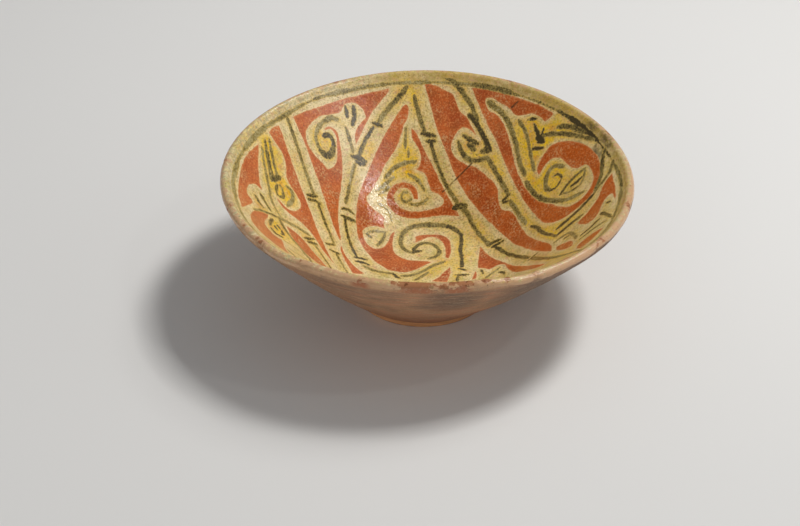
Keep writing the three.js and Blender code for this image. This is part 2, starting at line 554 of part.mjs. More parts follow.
const ring = new THREE.Shape();
ring.absarc(0, 0, (RIM_LINE_RADIUS + RIM_LINE_WIDTH / 2) * SCALE, 0, 2 * Math.PI);
const ringHole = new THREE.Path();
ringHole.absarc(0, 0, (RIM_LINE_RADIUS - RIM_LINE_WIDTH / 2) * SCALE, 0, 2 * Math.PI, true);
ring.holes.push(ringHole);
add('rim_line', geometryOf(paint.intersect(prism(ring, TURNS / 2))), DARK());

for (const [name, points] of Object.entries(redFields)) {
  add(name, geometryOf(paint.intersect(prism(outline(points)))), RED());
}
for (const [name, ribbons] of Object.entries(darkLines)) {
  const prisms = ribbons.map(([width, path]) => prism(ribbon(width, path)));
  const line = prisms.reduce((whole, next) => whole.add(next));
  add(name, geometryOf(paint.intersect(line)), DARK());
}

export default bowl;
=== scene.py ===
"""A slip-painted earthenware bowl, dressed for its picture.

A thrown conical clay wall stands on a low disc foot. Its inside carries a cream slip, painted with
olive-brown brush lines and brick-red fields that leave palmettes and scrolls in reserve, under a
clear glaze. Plan points are millimetres, with +X to the right and +Y away from the viewer.
"""
from __future__ import annotations

import logging
import math
from collections.abc import Callable
from dataclasses import dataclass, field
from enum import Enum
from typing import Any

import bpy
import numpy as np
from mathutils import Matrix, Vector
from mathutils.kdtree import KDTree

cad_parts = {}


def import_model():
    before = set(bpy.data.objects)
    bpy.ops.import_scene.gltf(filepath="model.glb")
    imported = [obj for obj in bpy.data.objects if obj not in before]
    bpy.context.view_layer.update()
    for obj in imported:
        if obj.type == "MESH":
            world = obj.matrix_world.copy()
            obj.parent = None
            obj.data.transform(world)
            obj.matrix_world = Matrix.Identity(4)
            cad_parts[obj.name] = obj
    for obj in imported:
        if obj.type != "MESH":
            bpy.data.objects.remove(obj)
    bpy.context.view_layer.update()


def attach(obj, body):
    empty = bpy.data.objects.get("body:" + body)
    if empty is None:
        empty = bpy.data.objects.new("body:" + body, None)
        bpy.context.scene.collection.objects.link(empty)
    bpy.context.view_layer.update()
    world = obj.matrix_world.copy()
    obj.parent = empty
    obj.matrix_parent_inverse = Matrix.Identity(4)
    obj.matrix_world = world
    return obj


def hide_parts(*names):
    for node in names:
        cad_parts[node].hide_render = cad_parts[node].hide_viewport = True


LOG = logging.getLogger("bowl")
MM = 0.001
BODY = "root"
SMOOTH_ANGLE = math.radians(50)
MERGE_DISTANCE = 0.002

Colour = tuple[float, float, float]
Point = tuple[float, ...]
Points = tuple[Point, ...]
Profile = list[tuple[float, float]]
Strokes = list[tuple[float, Points]]


def srgb(*channels: int) -> Colour:
    """Linear colour of an 8-bit screen colour."""
    shares = [channel / 255 for channel in channels]
    return tuple(s / 12.92 if s <= 0.04045 else ((s + 0.055) / 1.055) ** 2.4 for s in shares)


# Shader maths


def operator(operation: str, swapped: bool = False) -> Callable[[Value, Any], Value]:
    """A Python operator that adds a Math node, with its two values swapped for a reflected form."""
    def apply(self: Value, other: Any) -> Value:
        """Feeds both values to a new Math node."""
        pair = (other, self) if swapped else (self, other)
        return self.tree.node("ShaderNodeMath", {"operation": operation}, dict(enumerate(pair)))
    return apply


class Value:
    """A shader socket that takes part in Python expressions."""

    __add__, __radd__ = operator("ADD"), operator("ADD", True)
    __sub__, __rsub__ = operator("SUBTRACT"), operator("SUBTRACT", True)
    __mul__, __rmul__ = operator("MULTIPLY"), operator("MULTIPLY", True)
    __truediv__, __rtruediv__ = operator("DIVIDE"), operator("DIVIDE", True)
    __pow__, __rpow__ = operator("POWER"), operator("POWER", True)
    lower, higher = operator("MINIMUM"), operator("MAXIMUM")

    def __init__(self, tree: Shader, socket: bpy.types.NodeSocket) -> None:
        """Wraps one output socket of a shader's tree."""
        self.tree = tree
        self.socket = socket

    def rise(self, start: float, end: float) -> Value:
        """0 before start, 1 after end and a smooth rise between; start may lie above end."""
        inputs = {"Value": self, "From Min": start, "From Max": end}
        return self.tree.node("ShaderNodeMapRange", {"interpolation_type": "SMOOTHSTEP"}, inputs)


class Shader:
    """The node tree of one material, in the object's own millimetres."""

    speck_core = 0.4
    seam_core = 0.3

    def __init__(self, name: str) -> None:
        """Starts an empty tree with a Principled shader and its output."""
        self.material = bpy.data.materials.new(name)
        self.material.use_nodes = True
        self.nodes = self.material.node_tree.nodes
        self.links = self.material.node_tree.links
        self.nodes.clear()
        self.surface = self.nodes.new("ShaderNodeBsdfPrincipled")
        output = self.nodes.new("ShaderNodeOutputMaterial")
        self.links.new(self.surface.outputs["BSDF"], output.inputs["Surface"])
        place = self.node("ShaderNodeTexCoord", {}, {}, "Object")
        scale = {"Vector": place, "Scale": (1 / MM, 1 / MM, 1 / MM)}
        self.place = self.node("ShaderNodeMapping", {}, scale)
        self.x, self.y, self.z = (
            self.node("ShaderNodeSeparateXYZ", {}, {0: self.place}, axis) for axis in "XYZ"
        )
        self.radius = self.length(self.x, self.y)

    def node(self, kind: str, settings: dict, inputs: dict, output: Any = 0) -> Value:
        """Adds one node.

        Args:
            kind: the node's type name.
            settings: properties of the node, set before its sockets.
            inputs: values or links by socket name or number.
            output: name or number of the socket that is returned.

        Returns:
            The wanted output.
        """
        made = self.nodes.new(kind)
        for key, setting in settings.items():
            setattr(made, key, setting)
        for key, value in inputs.items():
            self.feed(made.inputs[key], value)
        return Value(self, made.outputs[output])

    def feed(self, socket: bpy.types.NodeSocket, value: Any) -> None:
        """Links a value to a socket, or sets a plain number, vector or colour on it."""
        if isinstance(value, Value):
            self.links.new(value.socket, socket)
        elif socket.type == "RGBA":
            socket.default_value = (*value, 1)
        else:
            socket.default_value = value

    def length(self, across: Value, along: Value) -> Value:
        """Length of a plan step."""
        return (across * across + along * along) ** 0.5

    def mix(self, share: Any, first: Any, second: Any) -> Value:
        """Colour that goes from first to second as share goes from 0 to 1."""
        return self.node("ShaderNodeMix", {"data_type": "RGBA"}, {0: share, 6: first, 7: second}, 2)

    def moved(self, shift: float, stretch: Point = (1, 1, 1)) -> Value:
        """The place in another part of a pattern, stretched along each axis."""
        inputs = {"Vector": self.place, "Scale": stretch, "Location": (shift, shift, shift)}
        return self.node("ShaderNodeMapping", {}, inputs)

    def noise(self, size: float, detail: float, shift: float = 0, stretch: Point = (1, 1, 1)) -> Value:
        """Noise between about 0.25 and 0.75.

        Args:
            size: millimetres across one blotch.
            detail: finer layers on top of it.
            shift: another place in the same noise.
            stretch: how much finer the noise is along each axis.

        Returns:
            The noise value.
        """
        inputs = {"Vector": self.moved(shift, stretch), "Scale": 1 / size, "Detail": detail}
        return self.node("ShaderNodeTexNoise", {}, inputs)

    def specks(self, size: float, reach: float, shift: float = 0) -> Value:
        """Round specks, 1 at their middles and 0 past reach, as a share of the cell size."""
        inputs = {"Vector": self.moved(shift), "Scale": 1 / size}
        near = self.node("ShaderNodeTexVoronoi", {}, inputs, "Distance")
        return near.rise(reach, reach * self.speck_core)

    def attribute(self, name: str) -> Value:
        """A number that the mesh holds at each corner point."""
        return self.node("ShaderNodeAttribute", {"attribute_name": name}, {}, "Fac")

    def spot(self, x: float, y: float, reach: float, core: float) -> Value:
        """A soft round patch in plan, 1 within core and 0 past reach."""
        return self.length(self.x - x, self.y - y).rise(reach, core)

    def spots(self, patches: Points) -> Value:
        """Several soft patches, each given by its place, its reach and its core."""
        first, *others = (self.spot(*patch) for patch in patches)
        for other in others:
            first = first.higher(other)
        return first

    def seam(self, start: Point, end: Point, half: float) -> Value:
        """A thin line in plan from start to end, 1 on the line and 0 past half its width."""
        run = Vector(end) - Vector(start)
        across, along = self.x - start[0], self.y - start[1]
        share = ((across * run.x + along * run.y) / run.length_squared).higher(0.0).lower(1.0)
        return self.length(across - share * run.x, along - share * run.y).rise(half, half * self.seam_core)

    def bump(self, height: Value, depth: float) -> Value:
        """Normal from a height between 0 and 1 over a depth in millimetres."""
        return self.node("ShaderNodeBump", {}, {"Height": height, "Strength": 1.0, "Distance": depth * MM})

    def finish(self, inputs: dict[str, Any]) -> bpy.types.Material:
        """The material, once the finished values and numbers are joined to its shader by socket name."""
        for name, value in inputs.items():
            self.feed(self.surface.inputs[name], value)
        return self.material


# Form of the bowl


def smooth(share: np.ndarray) -> np.ndarray:
    """Smooth step of a share that is held between 0 and 1."""
    share = np.clip(share, 0, 1)
    return share * share * (3 - 2 * share)


@dataclass(frozen=True)
class Grain:
    """Soft random variation over a plane, the same on every run."""

    size: float
    seed: int
    cells: int = 64

    def at(self, across: np.ndarray, along: np.ndarray) -> np.ndarray:
        """Value between -1 and 1 at each point, given by its two coordinates in millimetres."""
        table = np.random.default_rng(self.seed).uniform(-1, 1, (self.cells, self.cells))
        column, row = np.floor(across / self.size), np.floor(along / self.size)
        u, v = smooth(across / self.size - column), smooth(along / self.size - row)
        i, j = column.astype(int) % self.cells, row.astype(int) % self.cells
        right, up = (i + 1) % self.cells, (j + 1) % self.cells
        low = table[i, j] * (1 - u) + table[right, j] * u
        high = table[i, up] * (1 - u) + table[right, up] * u
        return low * (1 - v) + high * v

    def on(self, run: np.ndarray) -> np.ndarray:
        """Value between -1 and 1 at each place along one line."""
        return self.at(run, np.zeros_like(run))


@dataclass(frozen=True)
class BowlForm:
    """Sizes of the thrown bowl, in millimetres and degrees, and the surfaces they give.

    Each rise is the radius where a warp starts and the run over which it comes to its full height.
    """

    rim_radius: float = 100.3
    foot_height: float = 4.6
    foot_top_radius: float = 36.8
    wall_top: float = 64.2
    floor: float = 9.0
    floor_blend: float = 9.0
    floor_radius: float = 20.0
    wall_slope: float = 0.955
    wall_sag: float = 0.9
    lip_inner_radius: float = 95.0
    lip_inner_height: float = 65.5
    lip_middle: Point = (97.8, 65.4)
    lip_round: Points = (
        (95.0, 65.5), (96.0, 66.7), (96.8, 67.7), (97.8, 68.2), (99.0, 68.0), (100.0, 67.2),
        (100.5, 66.0), (100.3, 64.6), (99.7, 63.4),
    )
    outer_bow: float = 2.7
    lean: float = -1.9
    wall_waves: Points = ((-0.75, 0.0), (0.0, 0.0), (0.29, -0.2))
    wall_rise: Point = (30, 70)
    lip_waves: Points = ((-0.29, 1.0), (-0.52, 0.16), (-0.57, 0.1))
    lip_rise: Point = (86, 11)
    swell: float = 2.0
    swell_middle: float = -98.0
    swell_half: float = 36.0
    swell_fade: float = 13.0
    swell_rise: Point = (84, 13)

    def inside(self, radius: np.ndarray) -> np.ndarray:
        """Height of the lined inside at a radius, from the floor to the foot of the lip's round."""
        run = (radius - self.floor_radius) / (self.lip_inner_radius - self.floor_radius)
        wall = self.lip_inner_height - (self.lip_inner_radius - radius) * self.wall_slope
        wall = wall - self.wall_sag * 4 * run * (1 - run)
        step = np.clip(0.5 + 0.5 * (wall - self.floor) / self.floor_blend, 0, 1)
        return self.floor * (1 - step) + wall * step + self.floor_blend * step * (1 - step)

    def warp(self, x: np.ndarray, y: np.ndarray) -> np.ndarray:
        """How far the hand-thrown wall and lip stand above or below level ones."""
        radius, angle = np.hypot(x, y), np.arctan2(y, x)

        def risen(rise: Point) -> np.ndarray:
            """Share of a warp that is felt at each radius."""
            return smooth((radius - rise[0]) / rise[1])

        def waved(waves: Points) -> np.ndarray:
            """Sum of waves that run once, twice and three times round the bowl."""
            return sum(c * np.cos(n * angle) + s * np.sin(n * angle) for n, (c, s) in enumerate(waves, 1))

        away = np.abs((np.degrees(angle) - self.swell_middle + 180) % 360 - 180)
        swollen = self.swell * smooth((self.swell_half - away) / self.swell_fade)
        waves = risen(self.wall_rise) * waved(self.wall_waves) + risen(self.lip_rise) * waved(self.lip_waves)
        return waves + risen(self.swell_rise) * swollen

    def leaned(self, x: np.ndarray, height: np.ndarray) -> np.ndarray:
        """Where the outside's points lie once the bowl has slumped sideways over its foot."""
        return x + self.lean * np.clip(1 - height / self.wall_top, 0, 1)

    def lined(self, x: np.ndarray, y: np.ndarray) -> np.ndarray:
        """Height of the lined inside at a plan point."""
        return self.inside(np.hypot(x, y)) + self.warp(x, y)

    def outside(self, height: np.ndarray) -> np.ndarray:
        """Radius of the bare outside at a height, from the foot up to the lip's round."""
        run = (height - self.foot_height) / (self.wall_top - self.foot_height)
        straight = self.foot_top_radius + run * (self.rim_radius - self.foot_top_radius)
        return straight + self.outer_bow * 4 * run * (1 - run)

    def lip(self, steps: int) -> Profile:
        """Round of the lip, in radius and height, from the inside over the crown to the outside."""
        along = np.linspace(0, len(self.lip_round) - 1, steps)
        return [tuple(spot) for spot in curve_through(np.array(self.lip_round), along)]

    def round_lip(self, radius: np.ndarray, height: np.ndarray) -> np.ndarray:
        """Degrees round the lip: 180 at the inside, 90 at the crown and 0 at the outside."""
        return np.degrees(np.arctan2(height - self.lip_middle[1], radius - self.lip_middle[0]))


def curve_through(corners: np.ndarray, along: np.ndarray) -> np.ndarray:
    """Smooth curve through points.

    Args:
        corners: the points, one a row.
        along: places on the curve, where each whole number is a point.

    Returns:
        The places' coordinates, one a row.
    """
    last = len(corners) - 1
    start = np.clip(np.floor(along).astype(int), 0, last - 1)
    t = (along - start)[:, None]
    before, here = corners[np.maximum(start - 1, 0)], corners[start]
    there, after = corners[start + 1], corners[np.minimum(start + 2, last)]
    leave, arrive = (there - before) / 2, (after - here) / 2
    cubic = 2 * here - 2 * there + leave + arrive
    square = 3 * there - 3 * here - 2 * leave - arrive
    return cubic * t ** 3 + square * t ** 2 + leave * t + here


# Ornament


def drawn(points: Points, steps: int = 6) -> np.ndarray:
    """Smooth path through plan points."""
    corners = np.array([spot[:2] for spot in points], float)
    return curve_through(corners, np.linspace(0, len(corners) - 1, (len(corners) - 1) * steps + 1))


def outlined(points: Points) -> np.ndarray:
    """Closed outline of smooth runs that meet at the points marked as corners by a third number."""
    first = next(i for i, spot in enumerate(points) if len(spot) > 2)
    round_trip = points[first:] + points[:first + 1]
    breaks = [i for i, spot in enumerate(round_trip) if len(spot) > 2]
    return np.concatenate([drawn(round_trip[a:b + 1]) for a, b in zip(breaks, breaks[1:])])


def turned(points: Points) -> Points:
    """The same points half a turn round the bowl."""
    return tuple((-spot[0], -spot[1], *spot[2:]) for spot in points)


def restroked(strokes: Strokes) -> Strokes:
    """The same strokes half a turn round the bowl."""
    return [(width, turned(path)) for width, path in strokes]


def sampled(path: np.ndarray, step: float = 0.15) -> np.ndarray:
    """Points evenly spaced along a path."""
    length = np.concatenate([[0], np.cumsum(np.hypot(*np.diff(path, axis=0).T))])
    along = np.linspace(0, length[-1], max(2, math.ceil(length[-1] / step) + 1))
    return np.column_stack([np.interp(along, length, axis) for axis in path.T])


def nearest(places: np.ndarray, points: np.ndarray) -> tuple[np.ndarray, np.ndarray]:
    """Distance of each place to the nearest of some points, and that point's number.

    Args:
        places: plan points, one a row.
        points: the points to find among, one a row.

    Returns:
        The distances and the numbers.
    """
    tree = KDTree(len(points))
    for i, (x, y) in enumerate(points):
        tree.insert((x, y, 0), i)
    tree.balance()
    found = [tree.find((x, y, 0))[1:] for x, y in places]
    number, distance = np.array(found).reshape(-1, 2).T
    return distance, number


def within(places: np.ndarray, outline: np.ndarray) -> np.ndarray:
    """Whether each plan point lies inside a closed outline."""
    x, y = places.T
    inside = np.zeros(len(places), bool)
    for (ax, ay), (bx, by) in zip(outline, np.roll(outline, -1, 0)):
        if ay != by:
            inside ^= ((ay > y) != (by > y)) & (x < (bx - ax) * (y - ay) / (by - ay) + ax)
    return inside


# Edges that both the far side and the hidden front have. A third number marks a corner.
CURL_EDGE: Points = (
    (22.4, 76.4), (24.8, 72.8), (26.2, 70.2, 1), (23.4, 73.4), (20.2, 75.6), (16.6, 75.6), (13.7, 73),
    (12.4, 69.4), (13.6, 66.2), (16.6, 63.6), (20.4, 61.4), (24.4, 59.8), (28, 57), (31.4, 53.6),
)
STEM_EDGE: Points = (
    (33, 32), (28, 38.8), (23.2, 45), (18.8, 50.8), (15, 56.8), (11.6, 63.2), (8.4, 69.6), (5.4, 75.2),
    (3, 80.6), (0.8, 86.6),
)
PANEL_LEFT: Points = (
    (-11.6, 85.4), (-14.6, 82.4), (-18.6, 77.4), (-22.4, 71.6), (-26, 65), (-28.8, 59.4), (-31.2, 53.8),
    (-33.8, 47.4), (-35.4, 41), (-36, 35),
)
BUD_EDGE: Points = (
    (-16.9, 23), (-17.1, 28), (-16.2, 34.2, 1), (-18.6, 31.4), (-19.6, 27.4), (-22, 23), (-25.4, 21),
    (-29, 21.8), (-31.6, 25), (-32.4, 28.6, 1), (-29.6, 32),
)
PANEL_RIGHT: Points = (
    (-28, 48.6), (-25.4, 53), (-22.4, 58.8), (-19.6, 63), (-17, 66.6), (-14.8, 70.2), (-13.2, 74.4),
    (-12.2, 77.4), (-10.2, 80.4), (-9.8, 83.8),
)

# Red slip, painted round the lines and leaves
RED_FIELDS: dict[str, Points] = {
    "left_upper": (
        (-19.5, 90.2, 1), (-21.5, 87.2, 1), (-26, 82.5), (-29.5, 78), (-32.3, 73), (-34.6, 68.3),
        (-36.8, 64, 1), (-37.2, 68.5), (-35.5, 72.5), (-31.6, 76.6, 1), (-34, 79.6), (-38, 80.6),
        (-42.5, 78.4), (-44.8, 74.6), (-49, 71.9), (-53, 70), (-56.5, 67.2), (-59.5, 63), (-61.6, 58.5),
        (-61, 54), (-57.5, 50.8), (-53, 48.8), (-50.4, 47.4, 1), (-47.6, 50.4), (-46.2, 54.5),
        (-46.4, 59.5), (-47, 64), (-49.5, 65.7), (-53, 63.6, 1), (-50.5, 66.6), (-46.8, 66.2),
        (-44.8, 62.5), (-43.6, 57), (-43, 50), (-43.6, 43), (-44.5, 36), (-44.6, 29), (-44, 22.5),
        (-42.9, 17), (-43.8, 15.8), (-46.5, 20.5), (-49.5, 27), (-53, 34.5), (-57, 42.8), (-61, 50.3),
        (-65.5, 57.2), (-68.6, 61.4, 1), (-62, 67.5), (-54.5, 73.4), (-46.5, 78.7), (-38, 83.2),
        (-29, 87),
    ),
    "left_lower": (
        (-42.6, 13.6), (-41.2, 9.4), (-38.2, 5.6), (-35, 2.4), (-30.4, -0.8, 1), (-33.4, -2.6),
        (-36.6, -4, 1), (-38.8, 0.2), (-41.2, 5), (-43.2, 10.4),
    ),
    "left_middle": (
        (-75, 53, 1), (-72.6, 48.8), (-69.6, 42.6), (-66.6, 36.4), (-63.4, 30), (-60, 23.4), (-57, 17.4),
        (-54.2, 11), (-51, 4.8), (-48.2, -0.6), (-45.2, -5.8, 1), (-50, -2.4), (-53.6, 1.6), (-56, 4.4),
        (-60, 6.8), (-64.5, 7.4), (-69, 7), (-72.4, 8.2), (-75, 11.8, 1), (-71.8, 10.2), (-68.2, 9.8),
        (-65.2, 12.8), (-63.2, 17), (-63.4, 20.4), (-65.8, 23.4), (-68.4, 25.8), (-70.6, 29), (-71, 33.4),
        (-71.6, 37.4), (-73.6, 40.8), (-76.6, 43), (-79.8, 45.6, 1), (-77.8, 49.6),
    ),
    "left_rim": (
        (-84, 36, 1), (-83.9, 27.3), (-83.3, 19), (-82.6, 13), (-80.9, 7.4, 1), (-82.7, 8), (-85, 7.6),
        (-87, 3.2), (-87.8, -2), (-86.8, -6), (-84.9, -7.6), (-84.6, -10.4), (-86.6, -17.6),
        (-88.5, -25, 1), (-91, -14.4), (-91.7, -4.8), (-91.7, 5), (-91, 15), (-88.6, 25.6),
    ),
    "left_front": (
        (-77, -8.6, 1), (-80.4, -11.8), (-83, -16), (-84.3, -22), (-84.4, -28), (-82.8, -35),
        (-78.6, -42.4), (-73, -48), (-68, -51.4), (-64.2, -51.6, 1), (-65.8, -45), (-67.6, -38),
        (-68.6, -31.6), (-69.6, -27.2), (-72.4, -28.4), (-75.4, -26.8), (-77.7, -23.2), (-78.1, -18.4),
        (-77.2, -13.4),
    ),
    "left_branch": (
        (-69.2, -5.4, 1), (-64.4, -4.6), (-60.4, -5.6), (-57.4, -8.2), (-53.6, -11.4), (-50, -14.4),
        (-47.8, -18.2, 1), (-52, -21), (-57.6, -20.2), (-62, -16.8), (-65.4, -13),
    ),
    "middle_left": (
        *PANEL_LEFT, (-35.8, 29), (-34.6, 23.6), (-31.8, 18.8), (-28.6, 14.4), (-25.6, 10), (-22, 6),
        (-18.8, 2.8), (-14.6, 1.4), (-10.4, 1), (-6.4, 2.8), (-2.4, 5.8), (1, 9), (3.2, 10.6, 1),
        (-0.4, 11.4), (-4.6, 11.8), (-9, 12.2), (-13, 14.8), (-15.8, 18.4), *BUD_EDGE, (-25.4, 33.8),
        (-21.1, 34, 1), (-21.8, 36.6), (-21.5, 39.1), (-23.8, 40.3), (-26.8, 40.9), (-29.7, 42.2),
        (-30.6, 44), (-29.8, 46.1), *PANEL_RIGHT,
    ),
    "middle_right": (
        (-8.8, 77.2, 1), (-6, 75.2), (-3.8, 72.4), (-1.2, 68.4), (1.4, 64.6), (4.2, 60.6), (6.6, 56.8),
        (9.2, 52.8), (11.8, 49), (14.4, 45.6), (17.2, 41.2, 1), (13.2, 42), (8.6, 42.9), (3.6, 42.9),
        (-2, 42.2), (-9, 41.4, 1), (-9, 44.8, 1), (-4, 45), (-1, 45.6), (3.6, 46.3), (7.4, 47.3),
        (8.4, 49.2), (5.6, 51.4), (2.2, 52.7), (0.8, 55.4), (-0.6, 58.6), (-3, 60.2), (-6.2, 60.8, 1),
        (-4.2, 62.6), (-3.4, 65.4), (-4.2, 68.2), (-6.2, 70.6), (-8.2, 73.4),
    ),
    "palmette_eye": (
        (-4.5, 49.5, 1), (-5.2, 53.4), (-7.9, 55.2), (-11.8, 55.6), (-15.8, 54.3), (-18.4, 52.1),
        (-20.3, 49.5), (-20.9, 46.8), (-19.9, 44.5), (-17.5, 42.8), (-14.3, 42), (-10.3, 41.5),
        (-6.4, 41.5, 1), (-7.7, 44.5, 1), (-10.4, 45), (-13.3, 45.5), (-15.6, 46.6), (-16.7, 48.4),
        (-16.4, 50.2), (-14.7, 52.3), (-11.8, 53.2), (-9.2, 52.8), (-7.5, 51.2), (-7.1, 49.3, 1),
    ),
    "scroll_crescent": (
        (-6.1, 32.6, 1), (-2.4, 33.8), (2.4, 34.2), (7, 33.7), (10.4, 31.8), (12.1, 28.4), (12.5, 23.4),
        (12.1, 17.8), (11.2, 13.8, 1), (9.5, 15), (9.5, 19), (9.2, 23.6), (8.2, 28), (5.6, 31.2),
        (1.8, 32.2), (-2, 30.4), (-5.8, 28, 1), (-5.8, 30.2),
    ),
    "centre_wedge": (
        (11.8, 6.2, 1), (12.2, 1.6), (11.4, -3), (10.4, -7.4, 1), (6.2, -7.2), (2.4, -6.8, 1), (6, -3),
        (8.4, 1),
    ),
    "stem_right": (
        (27.2, 23.4, 1), (29.2, 19), (31.8, 14.6), (34.8, 10.4), (37.8, 7), (40.4, 3.2), (43.2, -1.4),
        (46.2, -6.2), (49.2, -11.4), (52.4, -17.6), (55.2, -23.8), (57.6, -30.6, 1), (54.2, -27.4),
        (50, -20.4), (46, -13.6), (42.6, -7.6), (40.6, -2.4), (38.8, 3.2), (36, 5.1), (33.6, 4.1),
        (31, 3.5), (28.8, 5), (25.6, 5.2, 1), (25.8, 10), (26.2, 16),
    ),
    "right_middle": (
        (-2, 93.5, 1), (1.7, 93.2), (4.9, 92.4), (9.2, 90.9), (13.4, 89.1, 1), (15.1, 85.9), (17, 82.6),
        (20.2, 80.1), *CURL_EDGE, (34.2, 50.4), (36, 46.6), (36.3, 42), (38, 36.8), (42, 33.8),
        (44.6, 29.6), (46.8, 23.6), (49, 17.4), (51.4, 11.8), (54.4, 6.2), (57.6, 0), (60.2, -5.6),
        (61.4, -11.6), (60.8, -16.6, 1), (58.6, -12.6), (55.8, -7.4), (52.6, -1.2), (49, 5.6),
        (45.4, 11.6), (41.6, 18), (37.4, 25.4), *STEM_EDGE,
    ),
    "right_ring": (
        (21.9, 90.6, 1), (30, 88.4), (37.6, 85.4), (45.6, 81.4), (53.2, 76.6), (58.8, 72.3),
        (64.4, 66.8, 1), (62.3, 65.9), (59.6, 65.8), (57.6, 68.4), (54, 71.6), (49.7, 72.8), (45.2, 74.5),
        (41.6, 78.5), (37.4, 81.4), (32.8, 84.6), (29.8, 84.8), (31.4, 80.8), (35.6, 78), (39, 73.4),
        (41.4, 67.8), (43.2, 61.4), (44.6, 54.8), (46.6, 48.4), (49.2, 42), (52, 36.2), (55.4, 30.6),
        (59.2, 25.8), (62.8, 21.6), (66.4, 16.8), (70, 12.6), (73.8, 10.7), (77.4, 11.2), (80.4, 13.6),
        (82, 17.6), (81.8, 22.4), (80.6, 27.4), (78.6, 31), (75.4, 32), (72.6, 34.2), (70.4, 38),
        (68.4, 41.8), (65.8, 45.2), (62.4, 46.7), (59, 45), (56.4, 42.4, 1), (55.6, 46.2), (58, 50.4),
        (62, 53.2), (66.4, 52.8), (71, 50.3), (75.4, 46.6), (79.4, 42), (82.4, 36.8), (84.6, 31),
        (85.8, 24.6), (85.7, 18.4), (84.2, 12.4), (80.6, 8), (75.6, 6.2), (70.4, 5.8), (65.6, 7),
        (61.6, 10), (58.2, 13.8), (55.4, 19.6), (52.6, 26.2), (49.8, 32.6), (46.8, 39.4), (43.8, 46.2),
        (41, 53.2), (38, 60.2), (35.2, 66.8), (31.6, 73.2), (28.4, 79.4), (25.4, 85),
    ),
    "right_rim": (
        (90.9, 12.8, 1), (91.3, 6), (91.6, -1), (91.4, -8), (90.2, -16, 1), (90.5, -9.6), (89.6, -4.2),
        (87, -4.6), (84.9, -8), (83.2, -12.8), (80.8, -16), (77.6, -15.8), (75.4, -12.4), (73, -6.6, 1),
        (77.4, -5), (80.6, -2), (83.4, 1), (84.9, 5), (87, 9),
    ),
    "right_leaf": (
        (63, -15.2, 1), (66.4, -17.8), (69.2, -21), (70.6, -25.4), (70, -31, 1), (67.2, -29.2),
        (64.8, -25), (63, -20.2),
    ),
    "right_front": (
        (72.4, -37, 1), (76, -35.5), (80.4, -35.4), (84, -36.6, 1), (81.2, -41.4), (77, -47),
        (72.4, -51.8, 1), (71, -46.2), (71.2, -41),
    ),
    "front_strip": (
        (-51.5, -25, 1), (-48.6, -27.4), (-47.4, -33), (-44.8, -41), (-40.6, -51.6), (-36.6, -61.4),
        (-34.4, -68), (-30.6, -75), (-27, -81.4), (-23.8, -88.4, 1), (-33, -86), (-42, -81.6),
        (-51, -76.2), (-59.6, -69.6), (-66, -62.8, 1), (-60, -64), (-53.6, -69), (-47, -74),
        (-40.6, -79.6), (-34.6, -84.8), (-31.6, -84.8), (-32.6, -80.4), (-36.6, -76), (-40, -69),
        (-42, -61), (-44.4, -51), (-47.8, -41), (-51.4, -32),
    ),
    "front_left": (
        (1.6, -92.4, 1), (-3, -92), (-8.6, -91.4), (-12.9, -89.8, 1), (-14.4, -86), (-17, -82.6),
        (-19.8, -79.8), *turned(CURL_EDGE), (-34.2, -50), (-36.4, -44), (-38.2, -37), (-39.8, -30),
        (-40.8, -23), (-41.2, -16, 1), (-38.6, -22), (-36.4, -27), *turned(STEM_EDGE),
    ),
    "front_middle": (
        *turned(PANEL_LEFT), (35.6, -28), (34.2, -21), (31.6, -14.6), (28.4, -12.4, 1), (20, -12.8),
        (12, -12.8), (5, -13), (-1, -13.8, 1), (2.6, -14.6), (5.6, -14.6), (9, -15), (13, -16.4),
        (15.8, -19), *turned(BUD_EDGE), (25.4, -34.2), (22.6, -35.2, 1), (26.4, -37.2), (30.2, -39.4),
        (32, -42), (30.8, -45.4), *turned(PANEL_RIGHT),
    ),
    "front_wedge": (
        (-27.2, -23.4, 1), (-28.6, -18), (-30.8, -12.6), (-33, -7.6, 1), (-29.4, -7), (-26, -7.6, 1),
        (-25.8, -13), (-26.2, -18),
    ),
    "stem_sliver": (
        (24.7, 3.4, 1), (25.2, -0.6), (24.6, -4.2), (22.4, -5.4, 1), (23.2, -1.4),
    ),
}

# Fields of the hidden front, and the far ones that they repeat half a turn round
HIDDEN_FIELDS: dict[str, str] = {
    "front_right": "left_upper", "front_inner": "middle_right", "front_eye": "palmette_eye",
    "front_crescent": "scroll_crescent",
}
RED_FIELDS |= {front: turned(RED_FIELDS[back]) for front, back in HIDDEN_FIELDS.items()}

